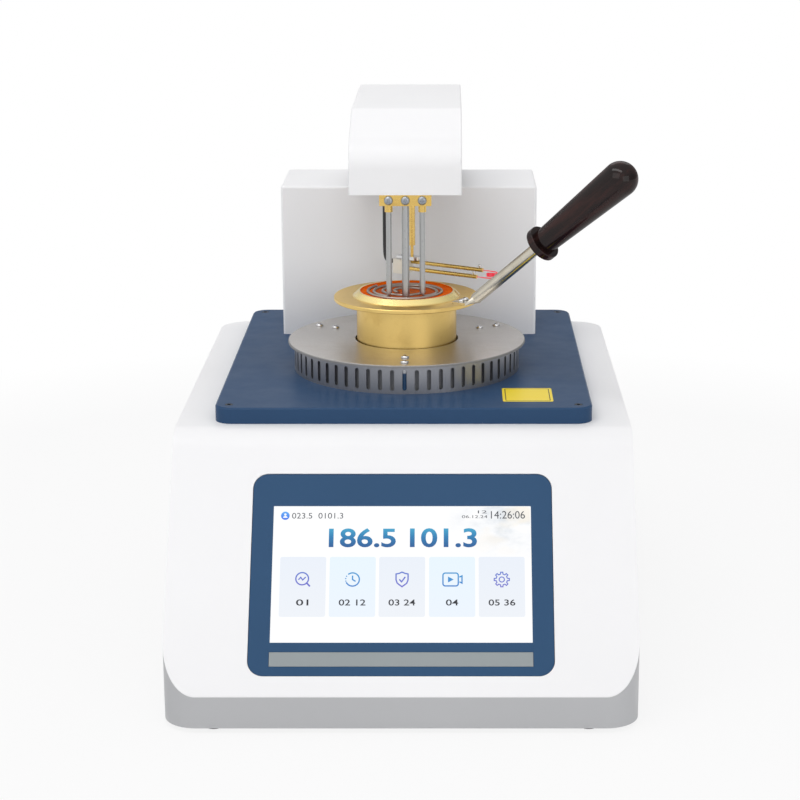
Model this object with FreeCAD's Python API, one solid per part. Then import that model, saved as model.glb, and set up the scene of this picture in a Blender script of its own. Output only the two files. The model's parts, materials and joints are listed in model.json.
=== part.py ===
import FreeCAD, Part
import math
import os

# Automatic open-cup flash point tester for a laboratory bench.
# Lengths are in millimetres, angles in degrees. +Z is up, the screen faces -Y, and the cup's handle
# points to +X and a little to the front.
# The pieces are drawn about the instrument's middle plane at x = 0. All are then moved by the same small
# amount, so that the origin lies on the bench under the middle of the whole, handle and inlet included.

os.makedirs("parts", exist_ok=True)

V = FreeCAD.Vector
X_AXIS = V(1, 0, 0)
Y_AXIS = V(0, 1, 0)
Z_AXIS = V(0, 0, 1)

# Shared values
overrun = 5.0            # how far a cutting tool runs past what it cuts
seat_gap = 0.3           # clearance between pieces of different bodies, and round drop-in pieces
bore_gap = 0.05          # radial clearance of a shaft in its bush
screw_gap = 0.2          # radial clearance of a screw in a plain hole

# Housing
housing_width = 290.0
housing_depth = 410.0
housing_height = 158.6
corner_radius = 21.0
wall_sheet = 2.0
cover_sheet = 2.0
cover_edge = 0.4         # the cover's thin rim, which lies on top of the walls
strip_height = 20.8      # upright strip below the sloping front
slope_angle = 54.0
bend_radius = 22.0
lip_width = 7.0
tray_sheet = 2.0
tray_gap = 0.2

# Feet
foot_height = 3.0
foot_radius = 7.0
foot_bevel = 0.8
foot_side_inset = 31.0
foot_end_inset = 12.0
foot_recess_radius = 4.2
foot_recess_depth = 1.8
foot_screw_radius = 2.0
foot_head_radius = 3.8
foot_head_height = 1.4
foot_nut_radius = 3.6
foot_nut_height = 2.6

# Screen on the slope
bezel_width = 186.0
bezel_height = 128.8
bezel_radius = 9.5
bezel_middle = 77.0      # up the slope from its lower edge
bezel_recess = 0.5
bezel_gap = 0.3
screen_width = 160.0
screen_height = 87.4
screen_recess = 0.4
module_side_rim = 4.0    # the display module beyond its picture
module_end_rim = 6.8
module_depth = 6.0
strip_plate_width = 160.6
strip_plate_height = 9.2
strip_plate_middle = 22.9
strip_plate_sheet = 0.5
frame_rim = 8.0
frame_sheet = 3.0
stud_radius = 3.0
stud_inset = 5.0
board_width = 150.0
board_height = 96.0
board_sheet = 1.6
board_drop = 12.0        # from the frame's back to the board
chip_side = 24.0
chip_height = 3.0
terminal_length = 60.0
terminal_width = 9.0
terminal_height = 10.0

# Deck plate
plate_width = 242.0
plate_thickness = 10.5
plate_radius = 11.0
plate_bevel = 1.0
plate_back_margin = 4.5
plate_front_margin = 15.6
plate_screw_inset = 9.0
plate_screw_radius = 1.6
plate_head_radius = 2.6
plate_head_height = 2.0
plate_socket_radius = 1.4
plate_screw_length = 12.0
lead_hole_radius = 8.0

# Heat shield
cup_back_room = 183.0    # from the cup's axis to the housing's rear
band_radius = 76.9
band_sheet = 1.2
band_height = 18.4
slot_count = 60
slot_width = 2.75
slot_height = 13.8
slot_middle = 9.2
disc_radius = 81.0
disc_sheet = 1.6
disc_edge = 0.5
disc_hole_radius = 35.3
post_inner_radius = 58.0
post_outer_radius = 71.5
post_radius = 3.6
post_foot_width = 8.0
post_foot_sheet = 2.0
shield_screw_radius = 1.5
shield_head_radius = 2.7
shield_head_height = 1.7
shield_screw_length = 9.0
first_post_angle = -90.0
post_count = 3

# Heater
hot_plate_radius = 48.0
hot_plate_thickness = 6.5
cup_seat_height = 17.0   # bottom of the cup above the deck plate
cup_seat_depth = 1.0
element_outer_radius = 46.0
element_inner_radius = 16.0
element_thickness = 4.5
insulator_outer_radius = 50.0
insulator_inner_radius = 20.0
element_stem_radius = 4.0

# Test cup
cup_outer_radius = 34.0
cup_inner_radius = 31.6
cup_floor = 3.0
cup_foot_bevel = 1.0
cup_floor_radius = 3.0
flange_radius = 49.4
flange_thickness = 2.8
flange_top = 49.8        # above the deck plate
rim_base_radius = 37.0
rim_top_radius = 32.9
rim_height = 3.5

# Cup handle
handle_azimuth = -34.0
handle_tilt = 39.7
strap_start_radius = 41.5
strap_bend_radius = 52.5 # where the tube's middle line meets the tongue's
tongue_width = 13.4
tongue_corner = 1.2
strap_sheet = 1.6
round_start = 6.0        # along the handle, from its bend to the full tube
tube_bore_start = 12.0
socket_radius = 3.9
socket_sheet = 1.0
socket_grip_depth = 20.0
strap_screw_radius = 1.4
strap_head_radius = 2.2
strap_head_height = 1.7
strap_screw_radius_place = 46.6
strap_screw_spacing = 5.2
collar_start = 69.9
collar_radius = 11.9
collar_width = 4.9
collar_edge = 0.7
grip_neck_radius = 8.4
grip_ball_place = 145.8
grip_ball_radius = 11.5

# Column
column_width = 184.4
column_depth = 80.0
column_height = 109.2
column_sheet = 1.6
column_radius = 1.9
column_front = 95.3      # behind the cup axis
rod_spacing = 44.0
rod_radius = 6.0
rod_back = 40.0          # behind the column's front
bush_outer_radius = 9.0
bush_flange_radius = 11.0
bush_flange_height = 2.0
guide_block_width = 100.0
guide_block_depth = 44.0
guide_block_height = 14.0
pillar_radius = 5.0
pillar_side_inset = 8.0
rod_tail = 16.0          # rod below the guide block when the head is fully up
lift_travel = 75.0
screw_radius = 4.0
motor_side = 42.3
motor_height = 40.0
motor_corner = 4.0

# Head
head_width = 75.2
head_length = 197.0
head_front = 22.0        # in front of the cup axis
head_bottom = 122.0      # above the deck plate
head_height = 51.0
head_sheet = 1.6
head_face_height = 18.0  # upright part of the front
head_bend_radius = 20.0
head_slope = 20.0
head_edge_radius = 1.2
chassis_sheet = 3.0
chassis_gap = 0.2

# Probe bracket, probes and electrodes
bracket_width = 34.7
bracket_depth = 7.0
bracket_height = 7.4
bracket_setback = 0.5
bracket_foot_depth = 10.0
bracket_foot_sheet = 2.6
probe_line = 18.0        # in front of the cup axis
probe_spacing = 11.2
probe_radius = 2.5
probe_floor_gap = 6.4
stem_radius = 1.9
stem_end = 54.9          # above the deck plate
socket_outer_radius = 2.7
socket_length = 4.4
clamp_head_radius = 3.0
clamp_head_height = 2.2
clamp_screw_radius = 1.4
wire_radius = 1.0
wire_level = 52.5        # middle of the flat rings above the deck plate
wire_bend = 2.4
wire_socket = 2.2
outer_end_radius = 26.5
outer_turns = 1.2
inner_pitch = 8.0
inner_turns = 1.8

# Igniter
pivot_x = 2.8
pivot_back = 62.0        # pivot behind the cup axis
park_angle = -32.0
shaft_radius = 2.2
shaft_step = 72.5        # above the deck plate
shaft_thin_radius = 1.1
shaft_bush_radius = 4.5
shaft_bush_drop = 3.0
lug_bottom = 62.2
lug_thickness = 2.4
lug_width = 7.0
lug_front = 6.5
lug_back = 11.0
block_front = 2.8        # the block's near face behind the pivot
block_length = 10.0
block_width = 12.4
block_height = 10.0
block_edge = 0.8
tube_radius = 1.4
tube_bore = 0.6
lower_tube_level = 56.4
upper_tube_level = 59.7
tube_side = 4.0
tube_end = 56.2
tube_socket = 2.0
set_screw_radius = 0.6
set_head_radius = 1.15
set_head_height = 1.4
set_screw_height = 1.1   # from the tube's top to the head's seat
set_screw_inset = 2.5
glow_wire_radius = 0.38
glow_place = 66.0
glow_radius = 3.6
glow_turns = 2.5
block_screw_radius = 1.0
block_head_radius = 1.9
block_head_height = 1.2
gear_motor_radius = 12.0
gear_motor_height = 30.0
gear_case_height = 9.0
gear_case_radius = 14.0

# Igniter lead
lead_radius = 1.6
lead_level = 59.5
lead_bend = 7.4
lead_run = 10.1          # from the block's far face to the upright part

# Rear wall fittings
fan_side_inset = 69.0    # from the housing's side to the fan's axis
fan_z = 88.0
fan_side = 60.0
fan_depth = 20.0
fan_wall = 1.6
fan_hub_radius = 12.0
fan_blade_gap = 1.0
fan_blade_sheet = 1.4
fan_blade_count = 7
fan_blade_pitch = 38.0
fan_spoke_width = 4.0
fan_spoke_depth = 2.0
fan_pin_radius = 1.5
vent_count = 9
vent_width = 3.4
vent_spacing = 6.0
inlet_side_inset = 49.0  # from the housing's side to the inlet's middle
inlet_z = 52.0
inlet_flange_width = 48.0
inlet_flange_height = 24.0
inlet_flange_sheet = 2.0
inlet_body_width = 28.0
inlet_body_height = 20.0
inlet_body_depth = 20.0
inlet_cavity_width = 24.4
inlet_cavity_height = 16.4
inlet_cavity_depth = 16.0
inlet_radius = 3.0
pin_width = 2.0
pin_height = 4.0
pin_length = 13.0
pin_tail = 7.0
pin_spacing = 14.0
pin_drop = 2.0
earth_rise = 2.0
switch_z = 92.0
switch_width = 16.0
switch_height = 24.0
switch_depth = 14.0
switch_wall = 1.4
switch_rim = 2.0
switch_rim_sheet = 1.4
rocker_throw = 20.0
rocker_thickness = 5.0
rocker_pin_radius = 1.2
rocker_axis_depth = 5.4
port_spacing = 56.0      # from the inlet to the data port
port_width = 16.0
port_height = 14.0
port_depth = 18.0
port_wall = 1.6
port_rim = 1.0
port_rim_sheet = 0.8

# Power supply on the tray
supply_width = 98.0
supply_depth = 150.0
supply_height = 38.0
supply_side_inset = 65.0 # from the housing's side to the supply's middle
supply_back_room = 155.0 # from the supply's middle to the housing's rear
supply_fin_height = 3.0
supply_fin_count = 8
supply_fin_width = 5.0

# Levels and places worked out from the sizes above
floor_z = foot_height
deck_z = floor_z + housing_height
plate_z = deck_z + plate_thickness
front_y = -housing_depth / 2
back_y = housing_depth / 2
half_width = housing_width / 2
strip_z = floor_z + strip_height
slope = math.radians(slope_angle)
fold_y = front_y + (deck_z - strip_z) / math.tan(slope)
tray_top_z = floor_z + tray_sheet
plate_back_y = back_y - plate_back_margin
plate_front_y = fold_y + plate_front_margin
plate_depth = plate_back_y - plate_front_y
plate_y = (plate_back_y + plate_front_y) / 2
cup_y = back_y - cup_back_room
module_width = screen_width + 2 * module_side_rim
module_height = screen_height + 2 * module_end_rim
fan_x = half_width - fan_side_inset
inlet_x = inlet_side_inset - half_width
port_x = inlet_x + port_spacing
supply_x = supply_side_inset - half_width
supply_y = back_y - supply_back_room
shield_top_z = plate_z + band_height + disc_sheet
cup_bottom_z = plate_z + cup_seat_height
flange_z = plate_z + flange_top
rim_z = flange_z + rim_height
cup_floor_z = cup_bottom_z + cup_floor
column_y = cup_y + column_front
column_top_z = plate_z + column_height
rods_y = column_y + rod_back
head_z = plate_z + head_bottom
head_top_z = head_z + head_height
head_front_y = cup_y - head_front
head_back_y = head_front_y + head_length
chassis_top_z = head_z + chassis_sheet
bracket_z = head_z - bracket_height
bracket_front_y = head_front_y + bracket_setback
probes_y = cup_y - probe_line
wire_z = plate_z + wire_level
pivot_y = cup_y + pivot_back
tilt = math.radians(handle_tilt)
azimuth = math.radians(handle_azimuth)
grip_reach = math.cos(azimuth) * (strap_bend_radius + grip_ball_place * math.cos(tilt)) + grip_ball_radius
side_shift = (half_width - grip_reach) / 2
back_shift = -inlet_flange_sheet / 2


def solid_box(x_low, x_high, y_low, y_high, z_low, z_high):
    return Part.makeBox(x_high - x_low, y_high - y_low, z_high - z_low, V(x_low, y_low, z_low))


def upright(x, y, z_low, z_high, radius):
    return Part.makeCylinder(radius, z_high - z_low, V(x, y, z_low))


def ring(x, y, z_low, z_high, outer, inner):
    hole = upright(x, y, z_low - overrun, z_high + overrun, inner)
    return upright(x, y, z_low, z_high, outer).cut(hole)


def rounded_slab(x, y, width, depth, radius, z_low, z_high):
    """A plate standing on z_low with four rounded corners, centred on x, y."""
    left, right = x - width / 2, x + width / 2
    near, far = y - depth / 2, y + depth / 2
    bow = radius * (1 - math.sqrt(1 / 2))
    edges = [
        Part.makeLine(V(left + radius, near, z_low), V(right - radius, near, z_low)),
        Part.Arc(V(right - radius, near, z_low), V(right - bow, near + bow, z_low),
                 V(right, near + radius, z_low)).toShape(),
        Part.makeLine(V(right, near + radius, z_low), V(right, far - radius, z_low)),
        Part.Arc(V(right, far - radius, z_low), V(right - bow, far - bow, z_low),
                 V(right - radius, far, z_low)).toShape(),
        Part.makeLine(V(right - radius, far, z_low), V(left + radius, far, z_low)),
        Part.Arc(V(left + radius, far, z_low), V(left + bow, far - bow, z_low),
                 V(left, far - radius, z_low)).toShape(),
        Part.makeLine(V(left, far - radius, z_low), V(left, near + radius, z_low)),
        Part.Arc(V(left, near + radius, z_low), V(left + bow, near + bow, z_low),
                 V(left + radius, near, z_low)).toShape(),
    ]
    return Part.Face(Part.Wire(edges)).extrude(V(0, 0, z_high - z_low))


def turned(points, x, y):
    """A solid of revolution about the upright line through x, y from (radius, z) corners."""
    corners = [V(x + radius, y, z) for radius, z in points]
    face = Part.Face(Part.makePolygon(corners + corners[:1]))
    return face.revolve(V(x, y, 0), Z_AXIS, 360)


def hexagon(x, y, radius, z_low, z_high):
    corners = []
    for i in range(7):
        turn = math.radians(60 * i)
        corners.append(V(x + radius * math.cos(turn), y + radius * math.sin(turn), z_low))
    return Part.Face(Part.makePolygon(corners)).extrude(V(0, 0, z_high - z_low))


def fused(shapes):
    whole = shapes[0]
    if len(shapes) > 1:
        whole = whole.multiFuse(shapes[1:])
    return whole.removeSplitter()


def without(shape, tools):
    return shape.cut(Part.makeCompound(tools))


def save(name, *shapes):
    """Moves the finished solids to the row's origin and writes them as one file."""
    solids = []
    for shape in shapes:
        solids.extend(shape.Solids)
    whole = solids[0] if len(solids) == 1 else Part.makeCompound(solids)
    whole = whole.copy()
    whole.translate(V(side_shift, back_shift, 0))
    whole.exportStep("parts/" + name + ".step")


def unit(vector):
    return V(vector).multiply(1 / vector.Length)


def arc_from(start, direction, end):
    """The arc that leaves start along direction and passes through end, or a line where it is straight."""
    chord = end - start
    along = chord.dot(direction)
    side = chord - V(direction).multiply(along)
    if side.Length < chord.Length * straight_share:
        return Part.makeLine(start, end)
    side = unit(side)
    radius = chord.dot(chord) / (2 * chord.dot(side))
    centre = start + V(side).multiply(radius)
    middle = unit((start + end).multiply(1 / 2) - centre)
    if along < 0:
        middle = middle.multiply(-1)
    return Part.Arc(start, centre + middle.multiply(abs(radius)), end).toShape()


straight_share = 1e-6


def biarc(start, start_way, end, end_way):
    """Two arcs that join start to end, tangent to both ways and to each other."""
    span = end - start
    both = start_way + end_way
    square = 2 * (1 - start_way.dot(end_way))
    cross = span.dot(both)
    if square < straight_share:
        reach = span.dot(span) / (4 * span.dot(end_way))
    else:
        reach = (math.sqrt(cross * cross + square * span.dot(span)) - cross) / square
    near = start + V(start_way).multiply(reach)
    far = end - V(end_way).multiply(reach)
    joint = (near + far).multiply(1 / 2)
    way = unit(far - near)
    return [arc_from(start, start_way, joint), arc_from(joint, way, end)]


def wire_solid(edges, radius):
    """One unbroken round wire along joined edges."""
    path = Part.Wire(edges)
    first = path.OrderedEdges[0]
    start = first.valueAt(first.FirstParameter)
    ends = [vertex.Point for vertex in path.OrderedVertexes]
    if (start - ends[0]).Length > radius:
        start = ends[0]
    way = first.tangentAt(first.FirstParameter)
    if first.Orientation == "Reversed":
        way = way.multiply(-1)
    outline = Part.Wire([Part.Circle(start, way, radius).toShape()])
    return path.makePipeShell([outline], True, False)


def least_gap(name, edges, radius):
    """Prints the least gap of a wound wire to itself, measured on points along its middle line."""
    points = []
    for edge in edges:
        count = max(2, round(edge.Length / radius))
        points.extend(edge.discretize(count)[1:])
    apart = least_gap_lengths * 2 * radius
    along = [0.0]
    for one, other in zip(points, points[1:]):
        along.append(along[-1] + (other - one).Length)
    gaps = []
    for i, one in enumerate(points):
        for j in range(i + 1, len(points)):
            if along[j] - along[i] > apart:
                gaps.append((one - points[j]).Length - 2 * radius)
    print(name, "least gap to itself", round(min(gaps), 2), "mm")


least_gap_lengths = 4    # points nearer than this many wire widths along the wire are one stretch


def prism(inset, z_low, z_high):
    """The housing's rounded plan, drawn in by an inset."""
    width = housing_width - 2 * inset
    depth = housing_depth - 2 * inset
    return rounded_slab(0, 0, width, depth, corner_radius - inset, z_low, z_high)


def below_profile(drop):
    """Everything under the deck and slope surface, sunk square to it by a drop."""
    radius = bend_radius - drop
    centre_y = fold_y + bend_radius * math.tan(slope / 2)
    centre_z = deck_z - bend_radius
    low_y = front_y - overrun
    foot_y = centre_y - radius * math.sin(slope)
    foot_z = centre_z + radius * math.cos(slope)
    low_z = foot_z - (foot_y - low_y) * math.tan(slope)
    base_z = min(low_z, floor_z) - overrun
    far_y = back_y + overrun
    left = -half_width - overrun
    start = V(left, low_y, low_z)
    bend_low = V(left, foot_y, foot_z)
    bend_middle = V(left, centre_y - radius * math.sin(slope / 2), centre_z + radius * math.cos(slope / 2))
    bend_high = V(left, centre_y, centre_z + radius)
    far_top = V(left, far_y, centre_z + radius)
    far_base = V(left, far_y, base_z)
    near_base = V(left, low_y, base_z)
    edges = [
        Part.makeLine(start, bend_low),
        Part.Arc(bend_low, bend_middle, bend_high).toShape(),
        Part.makeLine(bend_high, far_top),
        Part.makeLine(far_top, far_base),
        Part.makeLine(far_base, near_base),
        Part.makeLine(near_base, start),
    ]
    return Part.Face(Part.Wire(edges)).extrude(V(housing_width + 2 * overrun, 0, 0))


def on_slope(shape):
    """Puts a shape drawn with y up the slope and z square out of it onto the sloping front."""
    placed = shape.copy()
    placed.Placement = FreeCAD.Placement(V(0, front_y, strip_z), FreeCAD.Rotation(X_AXIS, slope_angle))
    return placed


def about_cup(angle, radius):
    turn = math.radians(angle)
    return radius * math.cos(turn), cup_y + radius * math.sin(turn)


def post_angles():
    return [first_post_angle + 360 * i / post_count for i in range(post_count)]


def foot_places():
    x = half_width - foot_side_inset
    y = back_y - foot_end_inset
    return [(-x, -y), (x, -y), (-x, y), (x, y)]


def plate_screw_places():
    x = plate_width / 2 - plate_screw_inset
    y = plate_depth / 2 - plate_screw_inset
    return [(sx * x, plate_y + sy * y) for sx in (-1, 1) for sy in (-1, 1)]


def rod_places():
    return [(-rod_spacing / 2, rods_y), (rod_spacing / 2, rods_y)]


def fan_vents():
    """Upright vent slots in the rear wall, longer in the middle, within the fan's circle."""
    cuts = []
    reach = fan_side / 2 - fan_wall
    for i in range(vent_count):
        offset = (i - (vent_count - 1) / 2) * vent_spacing
        half = math.sqrt(reach * reach - offset * offset) - vent_width
        slot = rounded_slab(fan_x + offset, 0, vent_width, 2 * half, vent_width * vent_round_share, 0,
                            wall_sheet + 2 * overrun)
        slot.rotate(V(0, 0, 0), X_AXIS, 90)
        slot.translate(V(0, back_y + overrun, fan_z))
        cuts.append(slot)
    return cuts


vent_round_share = 0.49


def housing_walls():
    tube = prism(0, floor_z, deck_z).cut(prism(wall_sheet, floor_z - overrun, deck_z + overrun))
    lip = prism(wall_sheet / 2, tray_top_z, tray_top_z + wall_sheet)
    lip = lip.cut(prism(lip_width, tray_top_z - overrun, tray_top_z + wall_sheet + overrun))
    walls = fused([tube, lip]).common(below_profile(cover_edge))
    rear_low = back_y - wall_sheet - overrun
    rear_high = back_y + overrun
    half_body = inlet_body_width / 2 + screw_gap
    half_tall = inlet_body_height / 2 + screw_gap
    cuts = fan_vents()
    cuts.append(solid_box(inlet_x - half_body, inlet_x + half_body, rear_low, rear_high,
                          inlet_z - half_tall, inlet_z + half_tall))
    half_switch = switch_width / 2 + screw_gap
    tall_switch = switch_height / 2 + screw_gap
    cuts.append(solid_box(inlet_x - half_switch, inlet_x + half_switch, rear_low, rear_high,
                          switch_z - tall_switch, switch_z + tall_switch))
    half_port = port_width / 2 + screw_gap
    tall_port = port_height / 2 + screw_gap
    cuts.append(solid_box(port_x - half_port, port_x + half_port, rear_low, rear_high,
                          inlet_z - tall_port, inlet_z + tall_port))
    return without(walls, cuts)


def fascia_cover():
    rim = prism(0, floor_z, deck_z).common(below_profile(0)).cut(below_profile(cover_edge))
    inner = prism(wall_sheet + tray_gap, floor_z, deck_z)
    inner = inner.common(below_profile(0)).cut(below_profile(cover_sheet))
    band = fused([rim, inner])
    opening = rounded_slab(
        0, bezel_middle, bezel_width + 2 * bezel_gap, bezel_height + 2 * bezel_gap,
        bezel_radius + bezel_gap, -cover_sheet - overrun, overrun)
    cuts = [on_slope(opening)]
    low, high = deck_z - cover_sheet - overrun, deck_z + overrun
    cuts.append(upright(0, cup_y, low, high, lead_hole_radius))
    cuts.append(upright(0, rods_y, low, high, screw_radius + seat_gap))
    for x, y in plate_screw_places():
        cuts.append(upright(x, y, low, high, plate_screw_radius))
    return without(band, cuts)


def base_tray():
    tray = prism(wall_sheet + tray_gap, floor_z, tray_top_z)
    holes = [upright(x, y, floor_z - overrun, tray_top_z + overrun, foot_screw_radius)
             for x, y in foot_places()]
    return without(tray, holes)


def rubber_feet():
    feet = []
    for x, y in foot_places():
        points = [(foot_screw_radius, foot_height), (foot_screw_radius, foot_recess_depth),
                  (foot_recess_radius, foot_recess_depth), (foot_recess_radius, 0),
                  (foot_radius - foot_bevel, 0), (foot_radius, foot_bevel), (foot_radius, foot_height)]
        feet.append(turned(points, x, y))
    return feet


def foot_screws():
    screws = []
    top_z = tray_top_z + foot_nut_height
    for x, y in foot_places():
        head = upright(x, y, foot_recess_depth - foot_head_height, foot_recess_depth, foot_head_radius)
        shank = upright(x, y, foot_recess_depth - foot_head_height, top_z, foot_screw_radius)
        nut = hexagon(x, y, foot_nut_radius, tray_top_z, top_z)
        screws.append(fused([head, shank, nut]))
    return screws


def screen_bezel():
    top = -bezel_recess
    plate = rounded_slab(0, bezel_middle, bezel_width, bezel_height, bezel_radius, -cover_sheet, top)
    window = solid_box(-screen_width / 2, screen_width / 2, bezel_middle - screen_height / 2,
                       bezel_middle + screen_height / 2, -cover_sheet - overrun, overrun)
    pocket = solid_box(-strip_plate_width / 2, strip_plate_width / 2,
                       strip_plate_middle - strip_plate_height / 2,
                       strip_plate_middle + strip_plate_height / 2, top - strip_plate_sheet, overrun)
    return on_slope(without(plate, [window, pocket]))


def name_strip():
    half_long = strip_plate_width / 2 - screw_gap
    half_tall = strip_plate_height / 2 - screw_gap
    low = -bezel_recess - strip_plate_sheet
    return on_slope(solid_box(-half_long, half_long, strip_plate_middle - half_tall,
                              strip_plate_middle + half_tall, low, -bezel_recess))


def display_panel():
    half_long = screen_width / 2 - screw_gap
    half_tall = screen_height / 2 - screw_gap
    face = solid_box(-half_long, half_long, bezel_middle - half_tall, bezel_middle + half_tall,
                     -cover_sheet - module_depth, -bezel_recess - screen_recess)
    body = solid_box(-module_width / 2, module_width / 2, bezel_middle - module_height / 2,
                     bezel_middle + module_height / 2, -cover_sheet - module_depth, -cover_sheet)
    return on_slope(fused([face, body]))


def stud_places():
    x = board_width / 2 - stud_inset
    y = board_height / 2 - stud_inset
    return [(sx * x, bezel_middle + sy * y) for sx in (-1, 1) for sy in (-1, 1)]


def panel_frame():
    """The frame behind the cover that clamps the screen and carries the board on four studs."""
    width = bezel_width + 2 * frame_rim
    height = bezel_height + 2 * frame_rim
    back = -cover_sheet - module_depth - frame_sheet
    frame = rounded_slab(0, bezel_middle, width, height, bezel_radius + frame_rim, back, -cover_sheet)
    nest = solid_box(-module_width / 2 - screw_gap, module_width / 2 + screw_gap,
                     bezel_middle - module_height / 2 - screw_gap,
                     bezel_middle + module_height / 2 + screw_gap,
                     back + frame_sheet, overrun)
    cable_way = solid_box(-terminal_length, terminal_length, bezel_middle - terminal_width,
                          bezel_middle + terminal_width, back - overrun, overrun)
    studs = [upright(x, y, back - board_drop, back, stud_radius) for x, y in stud_places()]
    return on_slope(fused([without(frame, [nest, cable_way])] + studs))


def control_board():
    """The board behind the screen, with its processor, memory and a row of terminals."""
    top = -cover_sheet - module_depth - frame_sheet - board_drop
    back = top - board_sheet
    half_long, half_tall = board_width / 2, board_height / 2
    board = solid_box(-half_long, half_long, bezel_middle - half_tall, bezel_middle + half_tall, back, top)
    pieces = [board]
    for place_share in (-0.25, 0.1):
        x = place_share * board_width
        pieces.append(solid_box(x, x + chip_side, bezel_middle, bezel_middle + chip_side,
                                back - chip_height, back))
    low = bezel_middle - half_tall + stud_inset
    pieces.append(solid_box(-terminal_length / 2, terminal_length / 2, low, low + terminal_width,
                            back - terminal_height, back))
    return on_slope(fused(pieces))


def power_supply():
    """A folded metal box with a ribbed lid, screwed flat on the tray."""
    near, far = supply_y - supply_depth / 2, supply_y + supply_depth / 2
    left, right = supply_x - supply_width / 2, supply_x + supply_width / 2
    top = tray_top_z + supply_height
    pieces = [solid_box(left, right, near, far, tray_top_z, top)]
    pitch = supply_depth / (supply_fin_count + 1)
    for i in range(supply_fin_count):
        y = near + pitch * (i + 1)
        pieces.append(solid_box(left + supply_fin_width, right - supply_fin_width, y - supply_fin_width / 2,
                                y + supply_fin_width / 2, top, top + supply_fin_height))
    return fused(pieces)


def deck_plate():
    plate = rounded_slab(0, plate_y, plate_width, plate_depth, plate_radius, deck_z, plate_z)
    top_edges = [edge for edge in plate.Edges if all(abs(v.Z - plate_z) < bore_gap for v in edge.Vertexes)]
    plate = plate.makeChamfer(plate_bevel, top_edges)
    low, high = deck_z - overrun, plate_z + overrun
    cuts = [upright(0, cup_y, low, high, lead_hole_radius),
            upright(0, rods_y, low, high, screw_radius + seat_gap)]
    for x, y in plate_screw_places():
        cuts.append(upright(x, y, low, high, plate_screw_radius))
        cuts.append(upright(x, y, plate_z - plate_head_height, high, plate_head_radius + screw_gap))
    return without(plate, cuts)


def plate_screws():
    screws = []
    for x, y in plate_screw_places():
        head = upright(x, y, plate_z - plate_head_height, plate_z, plate_head_radius)
        shank = upright(x, y, plate_z - plate_screw_length - cover_sheet, plate_z - plate_head_height,
                        plate_screw_radius)
        socket = hexagon(x, y, plate_socket_radius, plate_z - plate_head_height / 2, plate_z + overrun)
        screws.append(fused([head, shank]).cut(socket))
    return screws


def shield_band():
    """The upright ring with its row of rounded air slots."""
    band = ring(0, cup_y, plate_z, plate_z + band_height, band_radius, band_radius - band_sheet)
    cuts = []
    for i in range(slot_count):
        turn = math.radians(first_post_angle + 360 * i / slot_count)
        slot = rounded_slab(0, 0, slot_width, slot_height, slot_width * vent_round_share, 0,
                            band_sheet + 2 * overrun)
        slot.Placement = FreeCAD.Placement(
            V((band_radius - band_sheet - overrun) * math.cos(turn),
              cup_y + (band_radius - band_sheet - overrun) * math.sin(turn),
              plate_z + slot_middle),
            FreeCAD.Rotation(V(-math.sin(turn), math.cos(turn), 0), Z_AXIS,
                             V(math.cos(turn), math.sin(turn), 0), "ZXY"))
        cuts.append(slot)
    return without(band, cuts)


def shield_disc():
    low = plate_z + band_height
    points = [(disc_hole_radius, low), (disc_radius, low), (disc_radius, shield_top_z - disc_edge),
              (disc_radius - disc_edge, shield_top_z), (disc_hole_radius, shield_top_z)]
    disc = turned(points, 0, cup_y)
    holes = []
    for angle in post_angles():
        for radius in (post_inner_radius, post_outer_radius):
            x, y = about_cup(angle, radius)
            holes.append(upright(x, y, low - overrun, shield_top_z + overrun, shield_screw_radius))
    return without(disc, holes)


def shield_posts():
    """Three bridges under the disc: two pillars on one foot, tapped for the disc's screws."""
    bridges = []
    top = plate_z + band_height
    for angle in post_angles():
        foot = solid_box(post_inner_radius, post_outer_radius, -post_foot_width / 2, post_foot_width / 2,
                         plate_z, plate_z + post_foot_sheet)
        foot.rotate(V(0, 0, 0), Z_AXIS, angle)
        foot.translate(V(0, cup_y, 0))
        pieces = [foot]
        taps = []
        for radius in (post_inner_radius, post_outer_radius):
            x, y = about_cup(angle, radius)
            pieces.append(upright(x, y, plate_z, top, post_radius))
            taps.append(upright(x, y, top - shield_screw_length, top + overrun, shield_screw_radius))
        bridges.append(without(fused(pieces), taps))
    return bridges


def pan_screw(x, y, seat_z, head_radius, head_height, shank_radius, length):
    """A pan-head screw standing on seat_z, its head domed and its shank going down."""
    dome = head_radius * dome_share
    top = seat_z + head_height
    points = [(0, seat_z - length), (shank_radius, seat_z - length), (shank_radius, seat_z),
              (head_radius, seat_z), (head_radius, top - dome), (head_radius - dome, top), (0, top)]
    return turned(points, x, y)


dome_share = 0.35


def shield_screws():
    screws = []
    for angle in post_angles():
        for radius in (post_inner_radius, post_outer_radius):
            x, y = about_cup(angle, radius)
            screws.append(pan_screw(x, y, shield_top_z, shield_head_radius, shield_head_height,
                                    shield_screw_radius, disc_sheet + shield_screw_length))
    return screws


def heater_plate():
    """The plate that the cup stands in, with a shallow seat that centres it."""
    seat = cup_bottom_z
    top = seat + cup_seat_depth
    low = top - hot_plate_thickness
    points = [(0, low), (hot_plate_radius, low), (hot_plate_radius, top), (cup_outer_radius + seat_gap, top),
              (cup_outer_radius + seat_gap, seat), (0, seat)]
    return turned(points, 0, cup_y)


def heating_element():
    """A clad ring under the hot plate, with two terminals that go down through the deck."""
    top = cup_bottom_z + cup_seat_depth - hot_plate_thickness
    low = top - element_thickness
    body = ring(0, cup_y, low, top, element_outer_radius, element_inner_radius)
    tie = solid_box(-element_inner_radius, element_inner_radius, cup_y - element_stem_radius,
                    cup_y + element_stem_radius, low, top)
    stem = upright(0, cup_y, deck_z - cover_sheet, top, element_stem_radius)
    return fused([body, tie, stem])


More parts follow.
